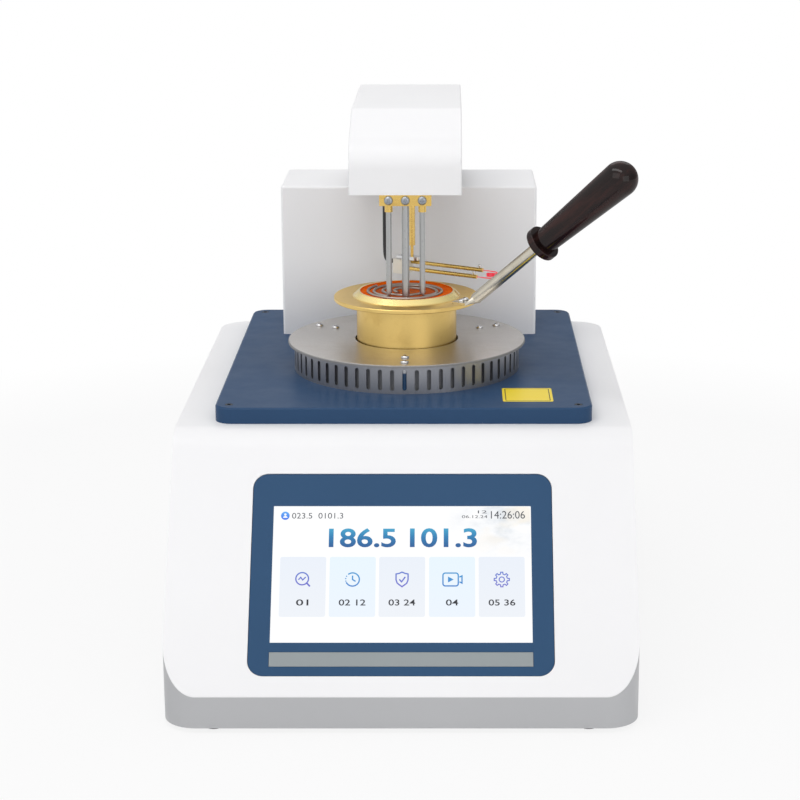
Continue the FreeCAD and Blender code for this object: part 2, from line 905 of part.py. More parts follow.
def insulation_ring():
    low = plate_z
    top = cup_bottom_z + cup_seat_depth - hot_plate_thickness - element_thickness
    return ring(0, cup_y, low, top, insulator_outer_radius, insulator_inner_radius)


def column_shell():
    left, right = -column_width / 2, column_width / 2
    far = column_y + column_depth
    outer = solid_box(left, right, column_y, far, plate_z, column_top_z)
    edges = [edge for edge in outer.Edges if max(v.Z for v in edge.Vertexes) > column_top_z - bore_gap]
    outer = outer.makeFillet(column_radius, edges)
    inner = solid_box(left + column_sheet, right - column_sheet, column_y + column_sheet, far - column_sheet,
                      plate_z - overrun, column_top_z - column_sheet)
    inner_edges = [edge for edge in inner.Edges
                   if max(v.Z for v in edge.Vertexes) > column_top_z - column_sheet - bore_gap]
    inner = inner.makeFillet(column_radius - column_sheet, inner_edges)
    cuts = [inner]
    for x, y in rod_places():
        cuts.append(upright(x, y, column_top_z - column_sheet - overrun, column_top_z + overrun,
                            bush_outer_radius))
    cuts.append(upright(0, rods_y, column_top_z - column_sheet - overrun, column_top_z + overrun,
                        screw_radius + seat_gap))
    return without(outer, cuts)


def guide_block():
    top = column_top_z - column_sheet
    low = top - guide_block_height
    block = solid_box(-guide_block_width / 2, guide_block_width / 2, rods_y - guide_block_depth / 2,
                      rods_y + guide_block_depth / 2, low, top)
    cuts = [upright(x, y, low - overrun, top + overrun, bush_outer_radius) for x, y in rod_places()]
    cuts.append(upright(0, rods_y, low - overrun, top + overrun, screw_radius + seat_gap))
    return without(block, cuts)


def guide_bushes():
    bushes = []
    low = column_top_z - column_sheet - guide_block_height
    top = column_top_z + bush_flange_height
    bore = rod_radius + bore_gap
    for x, y in rod_places():
        points = [(bore, low), (bush_outer_radius, low), (bush_outer_radius, column_top_z),
                  (bush_flange_radius, column_top_z), (bush_flange_radius, top), (bore, top)]
        bushes.append(turned(points, x, y))
    return bushes


def column_pillars():
    x = guide_block_width / 2 - pillar_side_inset
    y = guide_block_depth / 2 - pillar_side_inset
    top = column_top_z - column_sheet - guide_block_height
    return [upright(sx * x, rods_y + sy * y, plate_z, top, pillar_radius) for sx in (-1, 1)
            for sy in (-1, 1)]


def lift_motor():
    """A hollow-shaft stepper under the deck that drives the lift screw up and down."""
    top = deck_z - cover_sheet
    low = top - motor_height
    body = rounded_slab(0, rods_y, motor_side, motor_side, motor_corner, low, top)
    return body.cut(upright(0, rods_y, low - overrun, top + overrun, screw_radius + seat_gap))


def guide_rods():
    low = column_top_z - column_sheet - guide_block_height - rod_tail - lift_travel
    return [upright(x, y, low, head_z, rod_radius) for x, y in rod_places()]


def lift_screw():
    low = deck_z - cover_sheet - motor_height - lift_travel - overrun
    return upright(0, rods_y, low, head_z, screw_radius)


def head_outline(inset):
    """The hood's side outline at the plane x = 0, drawn in by an inset."""
    angle = math.radians(head_slope)
    front = head_front_y + inset
    radius = head_bend_radius - inset
    centre_y = head_front_y + head_bend_radius
    centre_z = head_z + head_face_height
    turn = math.pi / 2 - angle
    slope_start = V(0, centre_y - radius * math.cos(turn), centre_z + radius * math.sin(turn))
    bend_middle = V(0, centre_y - radius * math.cos(turn / 2), centre_z + radius * math.sin(turn / 2))
    top = head_top_z - inset
    crease = V(0, slope_start.y + (top - slope_start.z) / math.tan(angle), top)
    low = head_z - (overrun if inset > 0 else 0)
    far = head_back_y - inset
    edges = [
        Part.makeLine(V(0, front, low), V(0, front, centre_z)),
        Part.Arc(V(0, front, centre_z), bend_middle, slope_start).toShape(),
        Part.makeLine(slope_start, crease),
        Part.makeLine(crease, V(0, far, top)),
        Part.makeLine(V(0, far, top), V(0, far, low)),
        Part.makeLine(V(0, far, low), V(0, front, low)),
    ]
    return Part.Face(Part.Wire(edges))


def head_hood():
    outer = head_outline(0).extrude(V(head_width, 0, 0))
    outer.translate(V(-head_width / 2, 0, 0))
    edges = []
    for edge in outer.Edges:
        box = edge.BoundBox
        if box.XLength < bore_gap and box.ZMax > head_z + bore_gap:
            edges.append(edge)
    outer = outer.makeFillet(head_edge_radius, edges)
    inner_width = head_width - 2 * head_sheet
    inner = head_outline(head_sheet).extrude(V(inner_width, 0, 0))
    inner.translate(V(-inner_width / 2, 0, 0))
    return outer.cut(inner)


def head_chassis():
    """The plate that closes the hood's underside and carries all that hangs from it."""
    inset = head_sheet + chassis_gap
    half = head_width / 2 - inset
    plate = solid_box(-half, half, head_front_y + inset, head_back_y - inset, head_z, chassis_top_z)
    cuts = [upright(pivot_x, pivot_y, head_z - overrun, chassis_top_z + overrun, shaft_bush_radius)]
    return without(plate, cuts)


def probe_holes(gap):
    low, high = bracket_z - overrun, head_z + overrun
    return [
        upright(-probe_spacing, probes_y, low, high, stem_radius + gap),
        upright(0, probes_y, low, high, probe_radius + gap),
        upright(probe_spacing, probes_y, low, high, stem_radius + gap),
    ]


def probe_bracket():
    """The brass clamp under the head's front that holds the probe and the two electrode stems."""
    half = bracket_width / 2
    far = bracket_front_y + bracket_depth
    block = solid_box(-half, half, bracket_front_y, far, bracket_z, head_z)
    foot = solid_box(-half, half, far - overrun / 2, far + bracket_foot_depth,
                     head_z - bracket_foot_sheet, head_z)
    block = fused([block, foot])
    cuts = probe_holes(0)
    for x in (-probe_spacing, 0, probe_spacing):
        tap = Part.makeCylinder(clamp_screw_radius, bracket_depth / 2,
                                V(x, bracket_front_y - overrun / 2, bracket_z + bracket_height / 2), Y_AXIS)
        cuts.append(tap)
    return without(block, cuts)


def bracket_screws():
    screws = []
    for x in (-probe_spacing, 0, probe_spacing):
        reach = bracket_depth / 2 - overrun / 2
        screw = pan_screw(0, 0, 0, clamp_head_radius, clamp_head_height, clamp_screw_radius, reach)
        screw.rotate(V(0, 0, 0), X_AXIS, 90)
        screw.translate(V(x, bracket_front_y, bracket_z + bracket_height / 2))
        screws.append(screw)
    return screws


def probe_sockets():
    return [ring(x, probes_y, bracket_z - socket_length, bracket_z, socket_outer_radius, stem_radius)
            for x in (-probe_spacing, probe_spacing)]


def temperature_probe():
    """A plain rod with a rounded tip that stops a little above the cup's floor."""
    tip = cup_floor_z + probe_floor_gap
    rod = upright(0, probes_y, tip + probe_radius, head_z, probe_radius)
    return fused([rod, Part.makeSphere(probe_radius, V(0, probes_y, tip + probe_radius))])


def electrode_stems():
    """Two thin stems, each bored at its lower end for its ring's wire."""
    stems = []
    for x in (-probe_spacing, probe_spacing):
        stem = upright(x, probes_y, plate_z + stem_end, head_z, stem_radius)
        bore = upright(x, probes_y, plate_z + stem_end - overrun, plate_z + stem_end + wire_socket,
                       wire_radius)
        stems.append(stem.cut(bore))
    return stems


def ring_wire(name, x, turn_way, turns, radius_at):
    """A wire that leaves a stem, bends flat and winds round the cup's axis in quarter turns."""
    offset = V(x, -probe_line, 0)
    start_radius = offset.Length
    start_angle = math.atan2(-probe_line, x)
    way = V(-math.sin(start_angle) * turn_way, math.cos(start_angle) * turn_way, 0)
    centre = V(0, cup_y, wire_z)
    stem = V(x, probes_y, plate_z + stem_end)
    top = stem + V(0, 0, wire_socket)
    bend_top = V(stem.x, stem.y, wire_z + wire_bend)
    bend_end = V(stem.x, stem.y, wire_z) + V(way).multiply(wire_bend)
    bow = wire_bend * (1 - math.sqrt(1 / 2))
    bend_middle = V(stem.x, stem.y, wire_z + bow) + V(way).multiply(bow)
    edges = [Part.makeLine(top, bend_top), Part.Arc(bend_top, bend_middle, bend_end).toShape()]
    first = math.atan2(bend_end.y - cup_y, bend_end.x)
    steps = round(turns * 4)

    def place(share):
        angle = first + turn_way * share * steps * math.pi / 2
        radius = radius_at(start_radius, share * steps / 4)
        return centre + V(radius * math.cos(angle), radius * math.sin(angle), 0)

    def heading(share):
        return unit(place(share + straight_share) - place(share - straight_share))

    last, last_way = bend_end, way
    for i in range(steps):
        share = (i + 1) / steps
        edges.extend(biarc(last, last_way, place(share), heading(share)))
        last, last_way = place(share), heading(share)
    least_gap(name, edges, wire_radius)
    return wire_solid(edges, wire_radius)


def outer_electrode():
    def radius_at(start, turns):
        return start + (outer_end_radius - start) * turns / outer_turns

    return ring_wire("outer_electrode", -probe_spacing, -1, outer_turns, radius_at)


def inner_electrode():
    def radius_at(start, turns):
        return start - inner_pitch * turns

    return ring_wire("inner_electrode", probe_spacing, 1, inner_turns, radius_at)


def igniter_motor():
    """A small geared motor inside the hood, with its shaft hole on the pivot."""
    case_top = chassis_top_z + gear_case_height
    pieces = [upright(pivot_x, pivot_y, chassis_top_z, case_top, gear_case_radius),
              upright(pivot_x, pivot_y, case_top, chassis_top_z + gear_motor_height, gear_motor_radius)]
    bore = upright(pivot_x, pivot_y, chassis_top_z - overrun, case_top - overrun / 2,
                   shaft_radius + bore_gap)
    return fused(pieces).cut(bore)


def shaft_bush():
    return ring(pivot_x, pivot_y, head_z - shaft_bush_drop, chassis_top_z, shaft_bush_radius,
                shaft_radius + bore_gap)


def on_arm(shape):
    """Puts a shape drawn with x out along the igniter arm from its pivot into its parked place."""
    placed = shape.copy()
    placed.Placement = FreeCAD.Placement(V(pivot_x, pivot_y, plate_z), FreeCAD.Rotation(Z_AXIS, park_angle))
    return placed


def igniter_shaft():
    top = chassis_top_z + gear_case_height - overrun / 2 - seat_gap
    thick = upright(pivot_x, pivot_y, plate_z + shaft_step, top, shaft_radius)
    thin = upright(pivot_x, pivot_y, plate_z + lug_bottom, plate_z + shaft_step, shaft_thin_radius)
    return fused([thick, thin])


def block_screw_place():
    return -(block_front + lug_back) / 2


def igniter_lug():
    half = lug_width / 2
    lug = solid_box(-lug_back, lug_front - half, -half, half, lug_bottom, lug_bottom + lug_thickness)
    nose = Part.makeCylinder(half, lug_thickness, V(lug_front - half, 0, lug_bottom))
    lug = fused([lug, nose])
    cuts = [upright(0, 0, lug_bottom - overrun, lug_bottom + overrun, shaft_thin_radius),
            upright(block_screw_place(), 0, lug_bottom - overrun, lug_bottom + overrun, block_screw_radius)]
    return on_arm(without(lug, cuts))


def tube_places():
    return ((-tube_side, lower_tube_level), (tube_side, upper_tube_level))


def ceramic_block():
    half = block_width / 2
    near, far = -block_front, -block_front - block_length
    top = lug_bottom
    block = solid_box(far, near, -half, half, top - block_height, top)
    block = block.makeChamfer(block_edge, [edge for edge in block.Edges if edge.BoundBox.ZLength > overrun])
    cuts = [upright(block_screw_place(), 0, top - overrun, top + overrun, block_screw_radius)]
    for side, level in tube_places():
        cuts.append(Part.makeCylinder(tube_radius, tube_socket + overrun,
                                      V(near - tube_socket, side, level), X_AXIS))
    return on_arm(without(block, cuts))


def block_screw():
    return on_arm(pan_screw(block_screw_place(), 0, lug_bottom + lug_thickness, block_head_radius,
                            block_head_height, block_screw_radius, lug_thickness + overrun))


def lead_tubes():
    tubes = []
    start = -block_front - tube_socket
    for side, level in tube_places():
        tube = Part.makeCylinder(tube_radius, tube_end - start, V(start, side, level), X_AXIS)
        bore = Part.makeCylinder(glow_wire_radius, overrun, V(tube_end - tube_bore_depth, side, level),
                                 X_AXIS)
        tap = upright(tube_end - set_screw_inset, side, level, level + overrun, set_screw_radius)
        tubes.append(on_arm(without(tube, [bore, tap])))
    return tubes


tube_bore_depth = 1.0


def tube_set_screws():
    """The two small screws that clamp the hot wire's ends, their heads standing clear of the tubes."""
    screws = []
    for side, level in tube_places():
        seat = level + tube_radius + set_screw_height
        screw = pan_screw(tube_end - set_screw_inset, side, seat, set_head_radius, set_head_height,
                          set_screw_radius, seat - level - tube_bore)
        screws.append(on_arm(screw))
    return screws


def glow_coil():
    """The hot wire: out of the lower tube, up through a few upright turns, and back into the upper tube."""
    steps = round(glow_turns * 4)
    rise = upper_tube_level - lower_tube_level

    def place(share):
        angle = -math.pi / 2 + share * glow_turns * 2 * math.pi
        return V(glow_place + glow_radius * math.cos(angle), glow_radius * math.sin(angle),
                 lower_tube_level + rise * share)

    def heading(share):
        return unit(place(share + straight_share) - place(share - straight_share))

    start = V(tube_end - tube_bore_depth, -tube_side, lower_tube_level)
    mouth = V(tube_end, -tube_side, lower_tube_level)
    end = V(tube_end, tube_side, upper_tube_level)
    tail = V(tube_end - tube_bore_depth, tube_side, upper_tube_level)
    edges = [Part.makeLine(start, mouth)]
    edges.extend(biarc(mouth, V(X_AXIS), place(0), heading(0)))
    for i in range(steps):
        edges.extend(biarc(place(i / steps), heading(i / steps), place((i + 1) / steps),
                           heading((i + 1) / steps)))
    edges.extend(biarc(place(1), heading(1), end, V(-1, 0, 0)))
    edges.append(Part.makeLine(end, tail))
    least_gap("glow_coil", edges, glow_wire_radius)
    return on_arm(wire_solid(edges, glow_wire_radius))


def igniter_lead():
    """The flexible lead from the head's underside down to the far face of the ceramic block."""
    start_x = -block_front - block_length
    upright_x = start_x - lead_run
    bend_start = V(upright_x + lead_bend, 0, lead_level)
    bend_end = V(upright_x, 0, lead_level + lead_bend)
    bow = lead_bend * (1 - math.sqrt(1 / 2))
    bend_middle = V(upright_x + bow, 0, lead_level + bow)
    edges = [Part.makeLine(V(start_x, 0, lead_level), bend_start),
             Part.Arc(bend_start, bend_middle, bend_end).toShape(),
             Part.makeLine(bend_end, V(upright_x, 0, head_bottom))]
    print("igniter_lead bend radius", lead_bend, "mm")
    return on_arm(wire_solid(edges, lead_radius))


def test_cup():
    """The open brass cup: straight wall, flat flange and a bevelled rim."""
    under_flange = flange_z - flange_thickness
    edge = flange_thickness * flange_edge_share
    outline = [V(0, cup_y, cup_bottom_z), V(cup_outer_radius - cup_foot_bevel, cup_y, cup_bottom_z),
               V(cup_outer_radius, cup_y, cup_bottom_z + cup_foot_bevel),
               V(cup_outer_radius, cup_y, under_flange),
               V(flange_radius - edge, cup_y, under_flange), V(flange_radius, cup_y, under_flange + edge),
               V(flange_radius, cup_y, flange_z - edge), V(flange_radius - edge, cup_y, flange_z),
               V(rim_base_radius, cup_y, flange_z), V(rim_top_radius, cup_y, rim_z),
               V(cup_inner_radius, cup_y, rim_z), V(cup_inner_radius, cup_y, cup_floor_z + cup_floor_radius)]
    edges = [Part.makeLine(a, b) for a, b in zip(outline, outline[1:])]
    bow = cup_floor_radius * (1 - math.sqrt(1 / 2))
    floor_start = V(cup_inner_radius - cup_floor_radius, cup_y, cup_floor_z)
    edges.append(Part.Arc(outline[-1], V(cup_inner_radius - bow, cup_y, cup_floor_z + bow),
                          floor_start).toShape())
    middle = V(0, cup_y, cup_floor_z)
    edges.append(Part.makeLine(floor_start, middle))
    edges.append(Part.makeLine(middle, outline[0]))
    cup = Part.Face(Part.Wire(edges)).revolve(V(0, cup_y, 0), Z_AXIS, 360)
    holes = []
    for x, y in strap_screw_places():
        hole = upright(x, y, flange_top - flange_thickness - overrun, flange_top + overrun / 2,
                       strap_screw_radius)
        holes.append(on_handle(hole))
    return without(cup, holes)


flange_edge_share = 0.15


def on_handle(shape):
    """Puts a shape drawn with x out along the handle's plan direction from the cup axis into place."""
    placed = shape.copy()
    turn = FreeCAD.Placement(V(0, cup_y, plate_z), FreeCAD.Rotation(Z_AXIS, handle_azimuth))
    placed.Placement = turn.multiply(placed.Placement)
    return placed


def along_handle(shape):
    """Puts a shape drawn with x along the tilted handle's middle line, from its bend, into place."""
    placed = shape.copy()
    lean = FreeCAD.Placement(V(strap_bend_radius, 0, flange_top + strap_sheet / 2),
                             FreeCAD.Rotation(Y_AXIS, -handle_tilt))
    placed.Placement = lean.multiply(placed.Placement)
    return on_handle(placed)


def strap_screw_places():
    return [(strap_screw_radius_place, -strap_screw_spacing / 2),
            (strap_screw_radius_place, strap_screw_spacing / 2)]


def handle_strap():
    """A tube, pressed flat at one end and screwed to the flange; its round part runs up into the grip."""
    low, high = flange_top, flange_top + strap_sheet
    half = tongue_width / 2
    tongue = solid_box(strap_start_radius, strap_bend_radius, -half, half, low, high)
    corners = [edge for edge in tongue.Edges if edge.BoundBox.ZLength > strap_sheet / 2
               and edge.BoundBox.XMax < strap_bend_radius]
    tongue = tongue.makeFillet(tongue_corner, corners)
    tongue = without(tongue, [upright(x, y, low - overrun, low + overrun, strap_screw_radius)
                              for x, y in strap_screw_places()])
    pressed = Part.makePolygon([V(strap_bend_radius, -half, high), V(strap_bend_radius, -half, low),
                                V(strap_bend_radius, half, low), V(strap_bend_radius, half, high),
                                V(strap_bend_radius, -half, high)])
    blend = Part.makeLoft([pressed, tube_outline()], True, True)
    socket_end = collar_start + socket_grip_depth
    tube = Part.makeCylinder(socket_radius, socket_end - round_start, V(round_start, 0, 0), X_AXIS)
    bore = Part.makeCylinder(socket_radius - socket_sheet, socket_end - tube_bore_start + overrun,
                             V(tube_bore_start, 0, 0), X_AXIS)
    return fused([on_handle(tongue), on_handle(blend), along_handle(tube.cut(bore))])


def tube_outline():
    """The tube's section where it is round again, in four arcs that face the pressed end's four edges."""
    lean = math.radians(handle_tilt)
    centre = V(strap_bend_radius + round_start * math.cos(lean), 0,
               flange_top + strap_sheet / 2 + round_start * math.sin(lean))
    up = V(-math.sin(lean), 0, math.cos(lean))

    def rim(angle):
        turn = math.radians(angle)
        side = V(Y_AXIS).multiply(socket_radius * math.cos(turn))
        return centre + side + V(up).multiply(socket_radius * math.sin(turn))

    arcs = [(160, 180, 200), (200, 270, 340), (340, 360, 380), (380, 450, 520)]
    return Part.Wire([Part.Arc(rim(a), rim(b), rim(c)).toShape() for a, b, c in arcs])


def strap_screws():
    screws = []
    for x, y in strap_screw_places():
        screw = pan_screw(x, y, flange_top + strap_sheet, strap_head_radius, strap_head_height,
                          strap_screw_radius, strap_sheet + flange_thickness)
        screws.append(on_handle(screw))
    return screws


def grip_collar():
    """The disc at the grip's foot, threaded on the tube."""
    disc = Part.makeCylinder(collar_radius, collar_width, V(collar_start, 0, 0), X_AXIS)
    rim = [edge for edge in disc.Edges if edge.Curve.TypeId == "Part::GeomCircle"]
    disc = disc.makeFillet(collar_edge, rim)
    bore = Part.makeCylinder(socket_radius, collar_width + 2 * overrun, V(collar_start - overrun, 0, 0),
                             X_AXIS)
    return along_handle(disc.cut(bore))


def handle_grip():
    """The turned grip: a slim cone that runs tangent into a round end."""
    start = collar_start + collar_width
    reach = grip_ball_place - start
    lean = math.asin(grip_ball_radius / math.hypot(reach, grip_neck_radius))
    lean -= math.atan2(grip_neck_radius, reach)
    neck = V(start, 0, grip_neck_radius)
    ball_join = V(grip_ball_place - grip_ball_radius * math.sin(lean), 0, grip_ball_radius * math.cos(lean))
    ball_middle = V(grip_ball_place + grip_ball_radius * math.sqrt(1 / 2), 0,
                    grip_ball_radius * math.sqrt(1 / 2))
    tip = V(grip_ball_place + grip_ball_radius, 0, 0)
    edges = [
        Part.makeLine(V(start, 0, 0), neck),
        Part.makeLine(neck, ball_join),
        Part.Arc(ball_join, ball_middle, tip).toShape(),
        Part.makeLine(tip, V(start, 0, 0)),
    ]
    body = Part.Face(Part.Wire(edges)).revolve(V(0, 0, 0), X_AXIS, 360)
    socket = Part.makeCylinder(socket_radius, collar_start + socket_grip_depth - start, V(start, 0, 0),
                               X_AXIS)
    return along_handle(body.cut(socket))


def inlet_socket():
    """The appliance inlet: flange on the rear wall, body through it, and a cavity for a lead's connector."""
    rear = back_y + inlet_flange_sheet
    flange = rounded_slab(inlet_x, inlet_z, inlet_flange_width, inlet_flange_height, inlet_radius, 0,
                          inlet_flange_sheet)
    flange.rotate(V(0, 0, 0), X_AXIS, 90)
    flange.translate(V(0, rear, 0))
    body = solid_box(inlet_x - inlet_body_width / 2, inlet_x + inlet_body_width / 2,
                     rear - inlet_body_depth, rear,
                     inlet_z - inlet_body_height / 2, inlet_z + inlet_body_height / 2)
    cavity = solid_box(inlet_x - inlet_cavity_width / 2, inlet_x + inlet_cavity_width / 2,
                       rear - inlet_cavity_depth,
                       rear + overrun, inlet_z - inlet_cavity_height / 2, inlet_z + inlet_cavity_height / 2)
    cuts = [cavity]
    for x, z in pin_places():
        cuts.append(solid_box(x - pin_width / 2, x + pin_width / 2, rear - inlet_body_depth - overrun, rear,
                              z - pin_height / 2, z + pin_height / 2))
    return without(fused([flange, body]), cuts)


def pin_places():
    return [(inlet_x - pin_spacing / 2, inlet_z - pin_drop), (inlet_x + pin_spacing / 2, inlet_z - pin_drop),
            (inlet_x, inlet_z + earth_rise)]


def inlet_pins():
    floor_y = back_y + inlet_flange_sheet - inlet_cavity_depth
    pins = []
    for x, z in pin_places():
        pins.append(solid_box(x - pin_width / 2, x + pin_width / 2, floor_y - pin_tail, floor_y + pin_length,
                              z - pin_height / 2, z + pin_height / 2))
    return pins


def rocker_axis_y():
    return back_y + switch_rim_sheet - rocker_axis_depth


def switch_frame():
    """The switch's body in the rear wall, open to the back, with two bosses for the rocker's pin."""
    rear = back_y + switch_rim_sheet
    half, tall = switch_width / 2, switch_height / 2
    rim = solid_box(inlet_x - half - switch_rim, inlet_x + half + switch_rim, back_y, rear,
                    switch_z - tall - switch_rim, switch_z + tall + switch_rim)
    body = solid_box(inlet_x - half, inlet_x + half, rear - switch_depth, rear, switch_z - tall,
                     switch_z + tall)
    cavity = solid_box(inlet_x - half + switch_wall, inlet_x + half - switch_wall,
                       rear - switch_depth + switch_wall,
                       rear + overrun, switch_z - tall + switch_wall, switch_z + tall - switch_wall)
    pin_hole = Part.makeCylinder(rocker_pin_radius + bore_gap, switch_width - switch_wall,
                                 V(inlet_x - (switch_width - switch_wall) / 2, rocker_axis_y(), switch_z),
                                 X_AXIS)
    return without(fused([rim, body]), [cavity, pin_hole])


def power_rocker():
    """The rocker, a shallow V seen from the side, at rest with its lower half pressed in."""
    half = switch_width / 2 - switch_wall - seat_gap
    tall = switch_height / 2 - switch_wall - rocker_end_gap
    axis_y = rocker_axis_y()
    crown = rocker_thickness / 2
    angle = math.radians(rocker_throw / 2)
    rise = tall * math.tan(angle)
    points = [V(0, crown, 0), V(0, crown + rise, tall), V(0, -crown + rise / 2, tall), V(0, -crown, 0),
              V(0, -crown + rise / 2, -tall), V(0, crown + rise, -tall)]
    body = Part.Face(Part.makePolygon(points + points[:1])).extrude(V(2 * half, 0, 0))
    body.translate(V(-half, 0, 0))
    pin = Part.makeCylinder(rocker_pin_radius, switch_width - switch_wall - seat_gap,
                            V(-(switch_width - switch_wall - seat_gap) / 2, 0, 0), X_AXIS)
    rocker = fused([body, pin])
    rocker.rotate(V(0, 0, 0), X_AXIS, -rocker_throw / 2)
    rocker.translate(V(inlet_x, axis_y, switch_z))
    return rocker


rocker_end_gap = 1.2


def data_port():
    """A square jack for a printer or computer lead, set in the rear wall."""
    rear = back_y + port_rim_sheet
    half, tall = port_width / 2, port_height / 2
    rim = solid_box(port_x - half - port_rim, port_x + half + port_rim, back_y, rear,
                    inlet_z - tall - port_rim, inlet_z + tall + port_rim)
    body = solid_box(port_x - half, port_x + half, rear - port_depth, rear, inlet_z - tall, inlet_z + tall)
    cavity = solid_box(port_x - half + port_wall, port_x + half - port_wall,
                       rear - port_depth + port_wall * 2,
                       rear + overrun, inlet_z - tall + port_wall, inlet_z + tall - port_wall)
    return fused([rim, body]).cut(cavity)


def fan_frame():
    """A square fan frame inside the rear wall, with a hub on four spokes."""
    far = back_y - wall_sheet
    near = far - fan_depth
    half = fan_side / 2
    bore = half - fan_wall
    frame = solid_box(fan_x - half, fan_x + half, near, far, fan_z - half, fan_z + half)
    frame = frame.cut(Part.makeCylinder(bore, fan_depth + 2 * overrun, V(fan_x, near - overrun, fan_z),
                                        Y_AXIS))
    pieces = [frame, Part.makeCylinder(fan_hub_radius, fan_spoke_depth, V(fan_x, near, fan_z), Y_AXIS)]
    for turn in (45, 135, 225, 315):
        spoke = solid_box(fan_hub_radius / 2, bore + fan_wall, 0, fan_spoke_depth, -fan_spoke_width / 2,
                          fan_spoke_width / 2)
        spoke.rotate(V(0, 0, 0), Y_AXIS, turn)
        spoke.translate(V(fan_x, near, fan_z))
        pieces.append(spoke)
    pin = Part.makeCylinder(fan_pin_radius, fan_depth - 2 * fan_blade_gap, V(fan_x, near, fan_z), Y_AXIS)
    return fused(pieces + [pin])


def fan_rotor():
    far = back_y - wall_sheet - fan_blade_gap
    near = back_y - wall_sheet - fan_depth + fan_spoke_depth + fan_blade_gap
    tip = fan_side / 2 - fan_wall - fan_blade_gap
    middle = (near + far) / 2
    pieces = [Part.makeCylinder(fan_hub_radius, far - near, V(fan_x, near, fan_z), Y_AXIS)]
    chord = (far - near - fan_blade_sheet) / math.cos(math.radians(fan_blade_pitch)) * blade_share
    for i in range(fan_blade_count):
        blade = solid_box(-fan_blade_sheet / 2, fan_blade_sheet / 2, -chord / 2, chord / 2,
                          fan_hub_radius * blade_root_share, tip)
        blade.rotate(V(0, 0, 0), Z_AXIS, fan_blade_pitch)
        blade.rotate(V(0, 0, 0), Y_AXIS, 360 * i / fan_blade_count)
        blade.translate(V(fan_x, middle, fan_z))
        pieces.append(blade)
    sweep = Part.makeCylinder(tip, far - near, V(fan_x, near, fan_z), Y_AXIS)
    rotor = fused(pieces).common(sweep)
    bore_end = back_y - wall_sheet - 2 * fan_blade_gap + seat_gap
    bore = Part.makeCylinder(fan_pin_radius + bore_gap, bore_end - near + overrun,
                             V(fan_x, near - overrun, fan_z), Y_AXIS)
    return rotor.cut(bore)


blade_share = 0.9
blade_root_share = 0.8

save("housing_walls", housing_walls())
save("fascia_cover", fascia_cover())
save("base_tray", base_tray())
save("rubber_feet", *rubber_feet())
save("foot_screws", *foot_screws())
save("screen_bezel", screen_bezel())
save("name_strip", name_strip())
save("display_panel", display_panel())
save("panel_frame", panel_frame())
save("control_board", control_board())
save("power_supply", power_supply())
save("deck_plate", deck_plate())
save("plate_screws", *plate_screws())
save("shield_band", shield_band())
save("shield_disc", shield_disc())
save("shield_posts", *shield_posts())
save("shield_screws", *shield_screws())
save("heater_plate", heater_plate())
save("heating_element", heating_element())
save("insulation_ring", insulation_ring())
save("column_shell", column_shell())
save("guide_block", guide_block())
save("guide_bushes", *guide_bushes())
save("column_pillars", *column_pillars())
save("lift_motor", lift_motor())
save("guide_rods", *guide_rods())
save("lift_screw", lift_screw())
save("head_hood", head_hood())
save("head_chassis", head_chassis())
save("probe_bracket", probe_bracket())
save("bracket_screws", *bracket_screws())
save("probe_sockets", *probe_sockets())
save("temperature_probe", temperature_probe())
save("electrode_stems", *electrode_stems())
save("outer_electrode", outer_electrode())
save("inner_electrode", inner_electrode())
save("igniter_motor", igniter_motor())
save("shaft_bush", shaft_bush())
save("igniter_shaft", igniter_shaft())
save("igniter_lug", igniter_lug())
save("ceramic_block", ceramic_block())
save("block_screw", block_screw())
save("lead_tubes", *lead_tubes())
save("tube_set_screws", *tube_set_screws())
save("glow_coil", glow_coil())
save("igniter_lead", igniter_lead())
save("test_cup", test_cup())
save("handle_strap", handle_strap())
save("strap_screws", *strap_screws())
save("grip_collar", grip_collar())
save("handle_grip", handle_grip())
save("inlet_socket", inlet_socket())
save("inlet_pins", *inlet_pins())
save("switch_frame", switch_frame())
save("power_rocker", power_rocker())
save("data_port", data_port())
save("fan_frame", fan_frame())
save("fan_rotor", fan_rotor())
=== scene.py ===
import json
import math

import bmesh
import bpy
from mathutils import Matrix, Vector


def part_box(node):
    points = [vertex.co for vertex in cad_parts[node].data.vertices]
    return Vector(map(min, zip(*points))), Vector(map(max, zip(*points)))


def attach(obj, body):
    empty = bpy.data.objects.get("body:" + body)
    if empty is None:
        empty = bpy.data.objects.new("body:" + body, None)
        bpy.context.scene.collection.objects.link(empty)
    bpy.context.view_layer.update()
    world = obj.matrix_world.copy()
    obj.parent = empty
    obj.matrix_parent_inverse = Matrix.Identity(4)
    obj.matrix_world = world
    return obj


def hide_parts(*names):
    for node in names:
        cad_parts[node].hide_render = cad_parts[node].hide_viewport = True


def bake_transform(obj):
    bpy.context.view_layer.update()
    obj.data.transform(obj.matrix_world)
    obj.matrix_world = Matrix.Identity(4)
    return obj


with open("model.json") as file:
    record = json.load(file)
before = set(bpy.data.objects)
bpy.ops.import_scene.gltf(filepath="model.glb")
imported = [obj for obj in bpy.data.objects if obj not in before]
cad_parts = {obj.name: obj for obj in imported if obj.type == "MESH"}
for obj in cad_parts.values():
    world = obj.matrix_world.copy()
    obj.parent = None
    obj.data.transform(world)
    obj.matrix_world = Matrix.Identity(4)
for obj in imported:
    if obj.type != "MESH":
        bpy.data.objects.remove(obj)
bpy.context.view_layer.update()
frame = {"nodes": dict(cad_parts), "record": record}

MM = 0.001


def middle(node_name):
    low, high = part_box(node_name)
    return (low + high) / 2


